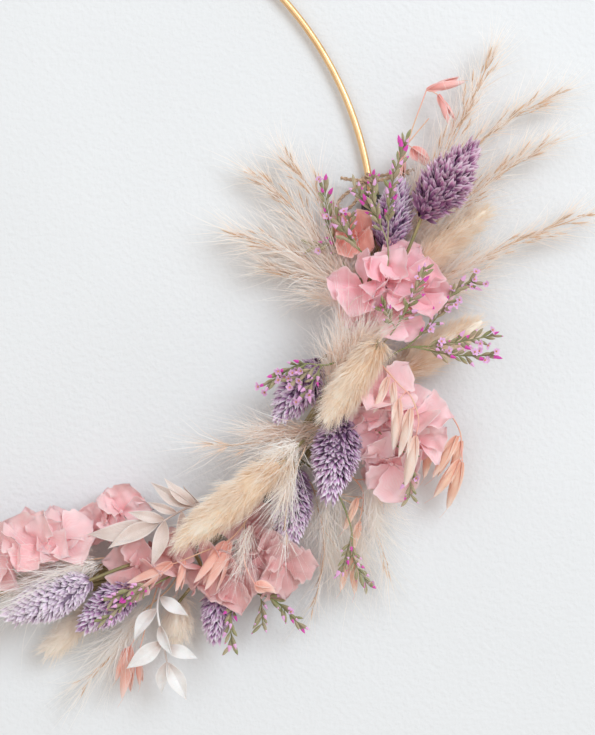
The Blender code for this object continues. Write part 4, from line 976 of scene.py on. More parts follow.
def fine_lines_group():
    """Fine lines that run from the foot to the tip of a blade, a little unsteady."""
    found = bpy.data.node_groups.get("Fine Lines")
    if found:
        return found
    graph, given, result = new_group(
        "Fine Lines",
        (("Lines", "Float", 8.0), ("Fan", "Float", 0.0), ("Waver", "Float", 0.6)),
        (("Lines", "Float"), ("Edge", "Float")))
    across, along, luck = graph.form()
    spreading = graph.maths("MULTIPLY", given["Fan"], graph.maths("SUBTRACT", along, 0.5))
    fanned = graph.maths("ADD", 1.0, spreading)
    unsteady = graph.maths("MULTIPLY", graph.maths("SUBTRACT", graph.noise(260.0, 2.0), 0.5), given["Waver"])
    even = graph.maths("MULTIPLY", graph.maths("MULTIPLY", across, given["Lines"]), fanned)
    phase = graph.maths("ADD", even, graph.maths("ADD", unsteady, luck))
    wave = graph.maths("SINE", graph.maths("MULTIPLY", phase, math.pi))
    lines = graph.spread(graph.maths("ABSOLUTE", wave), 0.0, 0.55, 1.0, 0.0)
    edge = graph.spread(graph.maths("ABSOLUTE", across), 0.72, 1.0)
    graph.feed(result["Lines"], lines)
    graph.feed(result["Edge"], edge)
    return graph.tree


def use_group(graph, tree, **inputs):
    made = graph.node("Group", node_tree=tree)
    for name, value in inputs.items():
        graph.feed(made.inputs[name.replace("_", " ")], value)
    return made.outputs


def new_material(name, roughness, **values):
    """A material with its Principled shader, the graph to build on and the shader's sockets."""
    material = bpy.data.materials.new(name)
    material.use_nodes = True
    shader = material.node_tree.nodes["Principled BSDF"]
    shader.inputs["Roughness"].default_value = roughness
    for socket, value in values.items():
        shader.inputs[socket.replace("_", " ")].default_value = value
    return material, Graph(material.node_tree), shader


def put_bump(graph, shader, height, distance, strength=0.6):
    bump = graph.node("Bump", {"Height": height, "Distance": distance * MM, "Strength": strength})
    graph.feed(shader.inputs["Normal"], bump.outputs[0])


def let_light_through(shader, share):
    """Lets light pass through a thin blade or hair, red the furthest."""
    shader.inputs["Subsurface Weight"].default_value = share
    shader.inputs["Subsurface Radius"].default_value = (1.0, 0.7, 0.6)
    shader.inputs["Subsurface Scale"].default_value = 0.6 * MM


def made_once(make):
    """The maker of a material that, where one of that name is there already, gives that one."""
    def material(name, *values, **named):
        return bpy.data.materials.get(name) or make(name, *values, **named)
    return material


def gilt_material(settings):
    """Satin gilt with duller patches."""
    material, graph, shader = new_material("satin gilt", settings.roughness, Metallic=1.0)
    tone = use_group(graph, dry_tone_group(), Colour=rgba(settings.gold), Second_Colour=rgba(settings.shade),
                     Patch_Scale=70.0, Patch_Share=0.35, Luck_Share=0.0)
    graph.feed(shader.inputs["Base Color"], tone["Colour"])
    grain = graph.noise(1400.0, 2.0)
    graph.feed(shader.inputs["Roughness"], graph.spread(grain, 0.3, 0.7, settings.roughness - 0.07,
                                                         settings.roughness + 0.1))
    put_bump(graph, shader, grain, 0.02, 0.3)
    return material


@made_once
def stalk_material(name, colour, second, shade):
    """Dry stalk with fine lines along it, darker in its grooves."""
    material, graph, shader = new_material(name, 0.62)
    tone = use_group(graph, dry_tone_group(), Colour=rgba(colour), Second_Colour=rgba(second),
                     Patch_Scale=60.0, Patch_Share=0.8, Luck_Share=0.5)
    lines = use_group(graph, fine_lines_group(), Lines=3.0, Waver=0.8)
    shaded = graph.mix(graph.maths("MULTIPLY", lines["Lines"], 0.45), tone["Colour"], rgba(shade))
    graph.feed(shader.inputs["Base Color"], shaded)
    put_bump(graph, shader, lines["Lines"], 0.08)
    return material


def tape_material(settings):
    """Dark tape with a faint painted highlight along its raised creases."""
    material, graph, shader = new_material("crinkled tape", 0.5)
    creases = graph.noise(700.0, 5.0)
    # Painted highlight where the creases are raised
    high = graph.spread(creases, 0.45, 0.75)
    graph.feed(shader.inputs["Base Color"], graph.mix(high, rgba(settings.tape), rgba(settings.tape_shine)))
    put_bump(graph, shader, creases, 0.35, 0.9)
    return material


def jute_material(settings):
    """Rough jute, darker between its fibres."""
    material, graph, shader = new_material("jute twine", 0.85, Sheen_Weight=0.3)
    tone = use_group(graph, dry_tone_group(), Colour=rgba(settings.jute), Second_Colour=rgba(settings.shade),
                     Patch_Scale=500.0, Patch_Share=0.5, Luck_Share=0.4)
    lines = use_group(graph, fine_lines_group(), Lines=5.0, Waver=1.5)
    graph.feed(shader.inputs["Base Color"],
               graph.mix(graph.maths("MULTIPLY", lines["Lines"], 0.5), tone["Colour"], rgba(settings.shade)))
    put_bump(graph, shader, lines["Lines"], 0.12)
    return material


@made_once
def scale_material(name, violet, pale, plum, lit):
    """Violet scale, pale at its edges and tip, with plum painted shade at its foot. Low on the head the
    painted shade leaves it lit this much.
    """
    material, graph, shader = new_material(name, 0.55)
    across, along, luck = graph.form()
    tone = use_group(graph, dry_tone_group(), Colour=rgba(violet), Second_Colour=rgba(plum),
                     Patch_Scale=260.0, Patch_Share=0.4, Luck_Share=0.5)
    # Painted shade: plum low on the head and at the foot of each scale, between the scales
    low = graph.spread(graph.place(), 0.1, 0.9, 1.0 - lit, 0.0)
    foot = graph.spread(along, 0.3, 0.85, 1.0, 0.0)
    deep = graph.mix(graph.maths("MAXIMUM", foot, low), tone["Colour"], rgba(plum))
    lines = use_group(graph, fine_lines_group(), Lines=2.5, Waver=0.8)
    rim = graph.maths("MULTIPLY", graph.spread(graph.maths("ABSOLUTE", across), 0.4, 0.9),
                      graph.spread(along, 0.25, 0.5))
    tip = graph.spread(along, 0.6, 0.9)
    # The pale edges are dimmed at random, and by painted shade low on the head
    bright = graph.maths("MULTIPLY", graph.spread(luck, -0.4, 1.0, 0.5, 1.0),
                         graph.spread(graph.place(), -0.1, 0.8, lit, 1.0))
    light = graph.maths("MULTIPLY", graph.maths("MAXIMUM", rim, tip), bright)
    edged = graph.mix(light, deep, rgba(pale))
    lined = graph.mix(graph.maths("MULTIPLY", lines["Lines"], 0.22), edged, rgba(plum))
    graph.feed(shader.inputs["Base Color"], lined)
    put_bump(graph, shader, lines["Lines"], 0.1)
    return material


@made_once
def hair_material(name, root, tip):
    """Silky hair that pales towards its tip, on some hairs sooner than on others."""
    material, graph, shader = new_material(name, 0.5)
    along, luck = graph.form()[1:]
    tone = use_group(graph, dry_tone_group(), Colour=rgba(tip), Second_Colour=rgba(root),
                     Patch_Scale=120.0, Patch_Share=0.25, Luck_Share=0.08)
    reach = graph.spread(luck, 0.0, 1.0, 0.25, 1.25)
    colour = graph.mix(graph.spread(along, 0.0, reach, 1.0, 0.0), tone["Colour"], rgba(root))
    graph.feed(shader.inputs["Base Color"], colour)
    let_light_through(shader, 0.4)
    return material


@made_once
def petal_material(name, colour, deep, lines, fan, vein_share, glow, roughness=0.6, tip_share=0.3):
    """Papery blade: deeper at its foot, with fine veins and a paler rim and tip."""
    material, graph, shader = new_material(name, roughness, Specular_IOR_Level=0.3)
    along = graph.form()[1]
    tone = use_group(graph, dry_tone_group(), Colour=rgba(colour), Second_Colour=rgba(deep),
                     Patch_Scale=110.0, Patch_Share=0.35, Luck_Share=0.22)
    veins = use_group(graph, fine_lines_group(), Lines=lines, Fan=fan, Waver=1.4)
    foot = graph.spread(along, 0.0, 0.5, 0.7, 0.0)
    based = graph.mix(foot, tone["Colour"], rgba(deep))
    veined = graph.mix(graph.maths("MULTIPLY", veins["Lines"], vein_share), based, rgba(deep))
    pale = rgba(blended(colour, (1.0, 1.0, 1.0), 0.5))
    tip = graph.maths("MULTIPLY", graph.spread(along, 0.6, 1.0), tip_share)
    rim = graph.maths("MULTIPLY", veins["Edge"], 0.5)
    rimmed = graph.mix(graph.maths("MAXIMUM", rim, tip), veined, pale)
    graph.feed(shader.inputs["Base Color"], rimmed)
    wrinkles = graph.maths("ADD", graph.maths("MULTIPLY", graph.noise(330.0), 3.0), veins["Lines"])
    put_bump(graph, shader, wrinkles, 0.14)
    let_light_through(shader, glow)
    return material


def bud_material(settings):
    """Ribbed olive bud with a magenta or lilac tip."""
    material, graph, shader = new_material("statice bud", 0.6)
    along, luck = graph.form()[1:]
    tone = use_group(graph, dry_tone_group(), Colour=rgba(settings.olive),
                     Second_Colour=rgba(settings.green), Patch_Scale=200.0, Patch_Share=0.7, Luck_Share=0.35)
    lines = use_group(graph, fine_lines_group(), Lines=2.0, Waver=0.4)
    ribbed = graph.mix(graph.maths("MULTIPLY", lines["Lines"], 0.65), tone["Colour"], rgba(settings.brown))
    start = graph.spread(luck, 0.0, 1.0, 0.56, 0.98)
    tip = graph.maths("GREATER_THAN", along, start)
    other = graph.maths("GREATER_THAN", graph.maths("FRACT", graph.maths("MULTIPLY", luck, 9.0)), 0.36)
    bright = graph.mix(other, rgba(settings.magenta), rgba(settings.lilac))
    graph.feed(shader.inputs["Base Color"], graph.mix(tip, ribbed, bright))
    put_bump(graph, shader, lines["Lines"], 0.08)
    return material


def floor_material(settings):
    """Pale, slightly uneven plaster."""
    material, graph, shader = new_material("pale plaster", 0.9)
    grain = graph.noise(430.0)
    broad = graph.noise(9.0, 2.0)
    deep = dimmed(settings.floor_colour, FLOOR_DEPTH)
    colour = graph.mix(graph.spread(broad, 0.3, 0.7), rgba(settings.floor_colour), rgba(deep))
    graph.feed(shader.inputs["Base Color"], colour)
    put_bump(graph, shader, grain, 0.7)
    return material


class WREATH_OT_stage(bpy.types.Operator):
    """Make the pale floor, the soft light and the camera"""
    bl_idname = "wreath.stage"
    bl_label = "Make Stage"

    def execute(self, context):
        settings = context.scene.wreath.stage
        bpy.ops.mesh.primitive_plane_add(size=settings.floor_size)
        floor = context.object
        floor.name = "pale_floor"
        floor.data.materials.append(floor_material(settings))
        self.put_light(settings, "key", KEY_PLACE, KEY_WIDTH, settings.key_power)
        self.put_light(settings, "fill", FILL_PLACE, FILL_WIDTH, settings.fill_power)
        world = bpy.data.worlds.new("studio")
        world.use_nodes = True
        sky = world.node_tree.nodes["Background"]
        sky.inputs["Color"].default_value = rgba(settings.sky_colour)
        sky.inputs["Strength"].default_value = settings.sky_strength
        context.scene.world = world
        context.scene.view_settings.view_transform = "Standard"
        context.scene.cycles.diffuse_bounces = settings.bounces
        lens = bpy.data.cameras.new("camera")
        lens.sensor_width = SENSOR
        lens.lens = SENSOR * CAMERA_DISTANCE / (PHOTO_HEIGHT * PHOTO_SCALE)
        camera = bpy.data.objects.new("camera", lens)
        camera.location = at((*CAMERA_OVER, CAMERA_HEIGHT))
        context.scene.collection.objects.link(camera)
        context.scene.camera = camera
        return {"FINISHED"}

    def put_light(self, settings, name, place, width, power):
        """A soft round lamp turned to the spot under the camera."""
        light = bpy.data.lights.new(name, "AREA")
        light.color = settings.lamp_colour
        light.shape = "DISK"
        light.size = width
        light.energy = power
        lamp = bpy.data.objects.new(name, light)
        lamp.location = at((*CAMERA_OVER, 0.0)) + np.array(place)
        lamp.rotation_euler = Vector(place).to_track_quat("Z", "Y").to_euler()
        bpy.context.scene.collection.objects.link(lamp)


class WREATH_OT_hoop(bpy.types.Operator):
    """Make the round gilt wire"""
    bl_idname = "wreath.hoop"
    bl_label = "Make Hoop"

    def execute(self, context):
        settings = context.scene.wreath.hoop
        pile = Pile()
        turn = np.linspace(0, math.tau, settings.segments, endpoint=False)
        sides = np.linspace(0, math.tau, HOOP_SIDES, endpoint=False)
        angle, around = np.meshgrid(turn, sides, indexing="ij")
        out = HOOP_RADIUS + WIRE_RADIUS * np.cos(around)
        points = at(np.stack((out * np.cos(angle), out * np.sin(angle),
                              HOOP_HEIGHT + WIRE_RADIUS * np.sin(around)), axis=-1))
        index = np.arange(angle.size).reshape(angle.shape)
        beside = np.roll(index, -1, axis=1)
        faces = np.stack((index, np.roll(index, -1, axis=0), np.roll(beside, -1, axis=0), beside), axis=-1)
        form = np.stack((np.cos(around), angle / math.tau, np.full_like(angle, 0.5)), axis=-1)
        pile.add(points, [faces.reshape(-1, 4)], form.reshape(-1, 3))
        put_piece("gilt_hoop", pile, [gilt_material(settings)], "hoop", "hoop")
        return {"FINISHED"}


class WREATH_OT_sheaf(bpy.types.Operator):
    """Make the bound stems, the flower heads' own stems and the bands of tape"""
    bl_idname = "wreath.sheaf"
    bl_label = "Make Sheaf and Tape"

    def execute(self, context):
        settings = context.scene.wreath.sheaf
        straw = stalk_material("straw", settings.straw, settings.green, settings.shade)
        pile = Pile()
        self.put_straws(pile, settings)
        self.put_stems(pile)
        put_piece("bound_straws", pile, [straw], "sheaf", "bound_stems")
        tape = tape_material(settings)
        for i, (first, last) in enumerate(BANDS, 1):
            pile = Pile()
            self.put_band(pile, first, last, draws("tape", i))
            put_piece(f"tape_wrap_{i}", pile, [tape], "tape", f"stem_tape_{i}")
        return {"FINISHED"}

    def put_straws(self, pile, settings):
        """Straws in three layers, each of which drifts a little round the sheaf."""
        draw = draws("straws")
        radius = settings.straw_radius / MM
        layers = ((settings.straws, 1.0), (settings.straws - INNER_STRAWS, 0.62), (INNER_STRAWS, 0.25))
        for count, reach in layers:
            for k in range(count):
                first = SHEAF_START + draw.uniform(-4.0, 0.5)
                last = SHEAF_END + draw.uniform(-0.5, 9.0)
                angle = np.linspace(first, last, STRAW_POINTS)
                swing = draw.uniform(-18, 18)
                drift = swing * np.sin(np.linspace(0, math.tau * draw.uniform(0.6, 1.6), STRAW_POINTS))
                around = (k + draw.uniform(-0.25, 0.25)) * 360 / count + drift
                thick = radius * draw.uniform(0.75, 1.15)
                span = (sheaf_radius(angle) - thick) * reach
                ripple = 1 + 0.05 * np.sin(angle / draw.uniform(4, 9) + draw.uniform(0, 6))
                line = sheaf_point(angle, around, np.minimum(span * ripple, sheaf_radius(angle) - thick))
                put_tube(pile, line, thick * MM, 6, luck=draw.uniform())

    def put_stems(self, pile):
        """The stems of the flower heads, from the sheaf to inside each head's foot."""
        corners, links = welded("bound_stems")
        names = [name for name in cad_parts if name.startswith(("phalaris", "lagurus"))]
        for i, name in enumerate(sorted(names)):
            foot, tip, _ = head_axis(name)
            seat = foot + (tip - foot) * 0.1
            ring = list(np.argsort(np.linalg.norm(corners - seat, axis=1))[:4])
            way = ring_walk(corners, links, ring, 2)
            level = way[-1] - MIDDLE
            angle = math.degrees(math.atan2(level[1], level[0]))
            rooted = sheaf_point(angle, 90.0, 1.0)
            line = smooth([rooted, *way[::-1], foot + (tip - foot) * 0.25], 1.5 * MM)
            put_tube(pile, line, np.linspace(0.85, 0.6, len(line)) * MM, 8, luck=(i * 0.37) % 1)

    def put_band(self, pile, first, last, draw):
        """Crinkled tape wound round the sheaf, flat where the wreath rests on it."""
        angle, around = np.meshgrid(np.linspace(first, last, BAND_ROWS),
                                    np.arange(BAND_SIDES) * 360 / BAND_SIDES, indexing="ij")
        share = np.linspace(0, 1, BAND_ROWS)[:, None]
        winding = (share * BAND_WINDINGS + around / 360) % 1.0
        creases = np.zeros_like(angle)
        for _ in range(BAND_WAVES):
            creases += 0.05 * np.sin(np.radians(around) * draw.integers(2, 15) + share * draw.uniform(5, 40)
                                     + draw.uniform(0, 6))
        reach = sheaf_radius(angle) + BAND_GROWTH - 0.25 + 0.3 * winding + creases
        reach = np.where((share == 0) | (share == 1), reach - 0.45, reach)
        points = sheaf_point(angle, around, reach)
        low = np.sin(np.radians(around)) < -0.88
        points[..., 2] = np.where(low, 0.0, points[..., 2])
        inner = sheaf_point(angle[::-1], around[::-1], sheaf_radius(angle[::-1]) - 0.5)
        grid = np.concatenate((points, inner))
        index = np.arange(grid.shape[0] * BAND_SIDES).reshape(-1, BAND_SIDES)
        beside = np.roll(index, -1, axis=1)
        faces = np.stack((index, beside, np.roll(beside, -1, axis=0), np.roll(index, -1, axis=0)), axis=-1)
        pile.add(grid, [faces.reshape(-1, 4)], (0.0, 0.5, 0.5))


class WREATH_OT_twine(bpy.types.Operator):
    """Make the twine: turns round the wire, a knot, a loop and loose ends"""
    bl_idname = "wreath.twine"
    bl_label = "Make Twine"

    def execute(self, context):
        settings = context.scene.wreath.twine
        draw = draws("twine")
        pile = Pile()
        for path in (LOOP, SHORT_END, *LONG_ENDS):
            self.put_cord(pile, smooth(at(path), 0.5 * MM), settings, draw)
        for angle in TWINE_TURNS:
            self.put_cord(pile, self.wire_turn(angle), settings, draw)
        for path in self.knot_turns():
            self.put_cord(pile, path, settings, draw)
        put_piece("twisted_twine", pile, [jute_material(settings)], "twine", "twine_bow")
        return {"FINISHED"}

    def wire_turn(self, angle):
        """One turn of the twine round the hoop's wire."""
        turn = np.linspace(0, math.tau * 1.02, 48)
        reach = WIRE_RADIUS + WIRE_TURN_REACH
        out = HOOP_RADIUS + reach * np.cos(turn)
        lean = np.radians(angle + turn * 0.05)
        return at(np.stack((out * np.cos(lean), out * np.sin(lean), HOOP_HEIGHT + reach * np.sin(turn)),
                           axis=-1))

    def knot_turns(self):
        """Two short coils that cross on top of the wire."""
        start, end = at(KNOT[0]), at(KNOT[1])
        axis = end - start
        side = any_normal(axis)
        over = unit(np.cross(unit(axis), side))
        for lead, lean in ((0.0, 0.25), (2.0, -0.3)):
            turn = np.linspace(0, math.tau * 1.6, 70)
            share = turn / turn[-1]
            spot = start + axis * (0.15 + 0.7 * share)[:, None]
            reach = KNOT_REACH * MM
            yield (spot + side * (np.cos(turn + lead) * reach)[:, None]
                   + over * (np.sin(turn + lead) * reach)[:, None]
                   + axis * (lean * np.sin(turn))[:, None] * 0.4)

    def put_cord(self, pile, line, settings, draw):
        """Two strands twisted round each other, with short fuzz."""
        _, side, over = directions(line[None])
        way = travelled(line)
        strand = settings.radius * STRAND_SHARE
        for half in (0.0, math.pi):
            turn = (way / settings.pitch * math.tau + half)[:, None]
            path = line + swung(side[0], over[0], turn) * strand * 0.82
            put_tube(pile, path, strand, 7, luck=draw.uniform())
        count = int(way[-1] / (FUZZ_SPACING * MM))
        pick = draw.integers(0, len(line) - 1, count)
        turn = draw.uniform(0, math.tau, (count, 1))
        out = swung(side[0][pick], over[0][pick], turn)
        lean = unit(out + draw.normal(0, 0.8, (count, 3)))
        length = draw.uniform(0.5, 2.1, (count, 1)) * MM
        start = line[pick] + out * settings.radius * 0.7
        middle = start + lean * length * 0.5
        end = start + unit(lean + draw.normal(0, 0.5, (count, 3))) * length
        put_tubes(pile, np.stack((start, middle, end), axis=1), FUZZ_RADIUS * MM, 3, pointed=True,
                  luck=draw.uniform(0, 1, count))


class WREATH_OT_phalaris(bpy.types.Operator):
    """Make the violet canary grass heads, scale by scale"""
    bl_idname = "wreath.phalaris"
    bl_label = "Make Canary Grass"

    def execute(self, context):
        settings = context.scene.wreath.phalaris
        for i, scales in enumerate(PHALARIS, 1):
            colour = getattr(settings, scales.tint)
            lift, lit, share = TINTS[scales.tint]
            # The plum painted shade, lifted part of the way towards the scales' colour
            deep = blended(settings.plum, colour, lift)
            edge = blended(colour, settings.pale, share)
            material = scale_material(f"{scales.tint} scales", colour, edge, deep, lit)
            pile = Pile()
            name = f"phalaris_{i}"
            self.put_head(pile, name, int(scales.count * settings.scales), scales, draws("phalaris", i))
            put_piece(f"phalaris_scales_{i}", pile, [material], "phalaris", name)
        return {"FINISHED"}

    def put_head(self, pile, node, count, scales, draw):
        """Scales that overlap like tiles and lean out less towards the tip, round a core."""
        foot, axis, length, radius, ahead, side, over = head_frame(node)
        even = (np.arange(count) + 0.5) / count
        shares = np.linspace(0, 1, 200)
        area = np.cumsum(head_width(shares, *SPIKE) + 0.12)
        share = np.interp(even * area[-1], area, shares)
        turn = np.arange(count) * GOLDEN_ANGLE + draw.normal(0, 0.08, count)
        out = swung(side, over, turn[:, None])
        wide = head_width(share, *SPIKE)
        lean = np.radians(draw.normal(scales.lean, 8, count) * (1 - 0.72 * share ** 2))[:, None]
        point = unit(swung(ahead, out, lean) + draw.normal(0, scales.mess, (count, 3)))
        size = draw.normal(1.0, scales.mess, count) * (1 + 0.35 * share ** 3)
        long = scales.length * size * MM
        reach = np.maximum(radius * wide - long * 0.9 * np.sin(lean[:, 0]), radius * 0.06)
        spot = foot + ahead * (share * length * 0.97 - long * 0.55 * np.cos(lean[:, 0]))[:, None]
        spot = spot + out * reach[:, None]
        front = unit(np.cross(np.cross(point, out + draw.normal(0, 0.25, (count, 3))), point))
        across = np.cross(front, point)
        half = scales.width / 2 * MM
        axes = np.stack((across * (half * size)[:, None], front * (half * 0.6 * size)[:, None],
                         point * long[:, None]), axis=1)
        put_copies(pile, scale_shape(), spot, axes, draw.uniform(0, 1, count), share)
        # The core takes the colour of the head's foot, mostly the plum painted shade, dark in the gaps
        # between the scales
        rows = np.linspace(0, 1, 14)
        inside = np.maximum(head_width(rows, *SPIKE) * radius - scales.length * 0.62 * MM, radius * 0.2)
        core = foot + axis * (rows * 0.9)[:, None]
        put_tube(pile, core, inside, 14, luck=0.0)


class WREATH_OT_lagurus(bpy.types.Operator):
    """Make the hare's-tail heads, hair by hair"""
    bl_idname = "wreath.lagurus"
    bl_label = "Make Hare's-tails"

    def execute(self, context):
        settings = context.scene.wreath.lagurus
        for i, tint in enumerate(LAGURUS, 1):
            fur = hair_material(f"{tint} fur", getattr(settings, tint), settings.cream)
            pile = Pile()
            name = f"lagurus_{i}"
            self.put_head(pile, name, settings, draws("lagurus", i))
            put_piece(f"lagurus_fur_{i}", pile, [fur], "lagurus", name)
        return {"FINISHED"}

    def put_head(self, pile, node, settings, draw):
        """Soft hairs that lie together in locks and lean out, most of all at the foot, round a core."""
        foot, axis, length, radius, ahead, side, over = head_frame(node)
        count = int(settings.hairs * min(1.0, length * radius / (FULL_TAIL[0] * FULL_TAIL[1])))
        locks = max(1, count // HAIRS_IN_A_LOCK)
        lock = draw.integers(0, locks, count)
        shares = np.linspace(0, 1, 200)
        area = np.cumsum(head_width(shares, *TAIL) + 0.05)
        share = np.interp(draw.uniform(0, area[-1], locks), area, shares)[lock]
        share = np.clip(share + draw.normal(0, 0.025, count), 0, 1)
        turn = draw.uniform(0, math.tau, locks)[lock] + draw.normal(0, 0.22, count)
        out = swung(side, over, turn[:, None])
        wide = head_width(share, *TAIL)
        lean = draw.normal(32, 9, locks)[lock] * (1 - 0.35 * share)
        lean = np.radians(lean + 50 * np.maximum(0, 1 - share / 0.12))[:, None]
        sway = draw.normal(0, 0.16, (locks, 3))[lock] + draw.normal(0, 0.07, (count, 3))
        point = unit(swung(ahead, out, lean) + sway)
        long = settings.hair_length * draw.normal(1.0, 0.15, locks)[lock] * draw.normal(1.0, 0.12, count)
        start = foot + ahead * (share * length * 0.96 - long * 0.5)[:, None]
        start = start + out * (radius * 0.64 * wide * draw.uniform(0.82, 1.0, count))[:, None]
        middle = start + point * (long * 0.5)[:, None]
        end = middle + unit(point + ahead * 0.35 + draw.normal(0, 0.12, point.shape)) * (long * 0.5)[:, None]
        bold = 0.8 + 1.4 * draw.uniform(0, 1, (count, 1)) ** 3
        lines = kept_near(np.stack((start, middle, end), axis=1))
        put_tubes(pile, lines, bold * np.array((0.08, 0.065, 0.0)) * MM, 3, pointed=True,
                  luck=draw.uniform(0, 1, count), place=share)
        rows = np.linspace(0, 1, 24)
        core = foot + axis * (rows * 0.93)[:, None]
        inside = np.maximum(head_width(rows, *TAIL), 0.1) * radius * TAIL_CORE
        put_tube(pile, core, inside, 28, luck=0.5)


class WREATH_OT_hydrangea(bpy.types.Operator):
    """Make the pink hydrangea blooms, petal by petal"""
    bl_idname = "wreath.hydrangea"
    bl_label = "Make Hydrangeas"

    def execute(self, context):
        settings = context.scene.wreath.petals
        sheaf = context.scene.wreath.sheaf
        stalk = stalk_material("bloom stalk", sheaf.green, sheaf.straw, sheaf.shade)
        for i, bloom in enumerate(HYDRANGEA, 1):
            colour = getattr(settings, bloom.tint)
            petals = petal_material(f"{bloom.tint} petals", colour, dimmed(colour, PETAL_DEPTH), lines=9.0,
                                    fan=0.9, vein_share=0.35, glow=0.35, roughness=0.75)
            draw = draws("hydrangea", i)
            pile = Pile()
            name = f"hydrangea_{i}"
            hub = at(bloom.hub)
            put_tube(pile, smooth([*lead_in(name), hub], 1.5 * MM), 0.9 * MM, 8)
            for row in bloom.florets:
                self.put_floret(pile, hub, row, settings, draw)
            for row in self.inner_florets(bloom, draw):
                self.put_floret(pile, hub, row, settings, draw)
            put_piece(f"hydrangea_petals_{i}", pile, [stalk, petals], "hydrangea", name)
        return {"FINISHED"}

    def inner_florets(self, bloom, draw):
        """Smaller florets under and between the outer ones."""
        rows = np.array(bloom.florets, float)
        for row in rows:
            near = rows[draw.integers(0, len(rows))]
            spot = row * 0.6 + near * 0.4
            yield (spot[0] + draw.normal(0, 3), spot[1] + draw.normal(0, 3), max(7.0, spot[2] - 6),
                   spot[3] * 0.85, draw.uniform(0, 360))

    def put_floret(self, pile, hub, row, settings, draw):
        """Four creased petals round a small heart, on a stalk from the bloom's hub."""
        x, y, z, reach, spin = row
        middle = at((x, y, z))
        facing = unit(middle - hub + UP * 15 * MM + draw.normal(0, 3.0, 3) * MM)
        side = any_normal(facing)
        over = np.cross(facing, side)
        level = np.array((math.cos(math.radians(spin)), math.sin(math.radians(spin)), 0.0))
        first = math.atan2(level @ over, level @ side)
        for k in range(FLORET_PETALS):
            turn = first + k * math.tau / FLORET_PETALS + draw.normal(0, 0.1)
            point = swung(side, over, turn)
            lift = draw.uniform(-0.05, 0.75)
            size = reach * draw.uniform(0.9, 1.14) * MM
            start = middle + point * 0.6 * MM + facing * (0.25 * (k % 2)) * MM
            end = start + unit(point + facing * lift) * size
            tilt = unit(facing + np.cross(facing, point) * draw.normal(0, 0.4) - point * 0.3 * lift)
            outline = Outline(draw.uniform(0.48, 0.62), draw.uniform(0.6, 1.0), 0.14)
            grid = blade_grid(start, end, tilt, size * draw.uniform(1.0, 1.35), outline, draw, 14, 12,
                              arch=draw.uniform(-0.08, 0.06), cup=draw.uniform(-0.1, 0.2),
                              fold=draw.uniform(0.0, 0.25), curl=draw.uniform(-0.15, 0.18),
                              ruffle=draw.uniform(0.03, 0.06), creases=FLORET_CREASES)
            put_sheet(pile, grid, settings.thickness, draw.uniform(), kind=1)
        seat = middle - facing * 0.5 * MM
        bow = (hub + seat) / 2 + facing * 1.2 * MM
        put_tube(pile, smooth([hub, bow, seat], 1.2 * MM), 0.35 * MM, 6, kind=1)
        heart = spindle_shape(8, 6, 0.5)
        axes = np.array([[side * 1.1 * MM, over * 1.1 * MM, facing * 2.0 * MM]])
        put_copies(pile, heart, np.array([middle - facing * 0.4 * MM]), axes, 0.9, kind=1)


class SprayMaker:
    """What the operators for stalked sprays share."""

    def start_spray(self, kind, number, spray):
        """A spray's node, its random draws, a pile with its stalk, and the paths that can be seen."""
        node = f"{kind}_{number}"
        pile = Pile()
        return node, draws(kind, number), pile, self.put_stalk(pile, node, spray, STALKS[kind] * MM)

    def put_stalk(self, pile, node, spray, radius):
        """The stalk and its twigs as smooth tubes. It gives the paths that can be seen."""
        path = at(spray.path)
        whole = smooth([*lead_in(node), *path], 1.5 * MM)
        put_tube(pile, whole, np.linspace(radius, radius * 0.6, len(whole)), 8)
        paths = [smooth(path, 1.0 * MM)]
        for twig in spray.twigs:
            points = at(twig)
            joint = whole[np.argmin(np.linalg.norm(whole - points[0], axis=1))]
            line = smooth([joint, *points[1:]], 1.0 * MM)
            put_tube(pile, line, np.linspace(radius * 0.75, radius * 0.5, len(line)), 7)
            paths.append(line)
        return paths

    def joint(self, paths, point):
        """The point of the paths that lies nearest."""
        line = np.concatenate(paths)
        return line[np.argmin(np.linalg.norm(line - point, axis=1))]

    def spots(self, paths, spacing, first_share, twig_share):
        """Evenly spaced spots along the paths: where, the direction ahead and the share of the way."""
        for number, line in enumerate(paths):
            way = travelled(line)
            share = twig_share if number else first_share
            due = np.arange(way[-1] * share, way[-1], spacing)
            ahead = unit(np.gradient(line, axis=0))
            for distance in due:
                k = min(len(line) - 1, int(np.searchsorted(way, distance)))
                yield line[k], ahead[k], distance / way[-1]


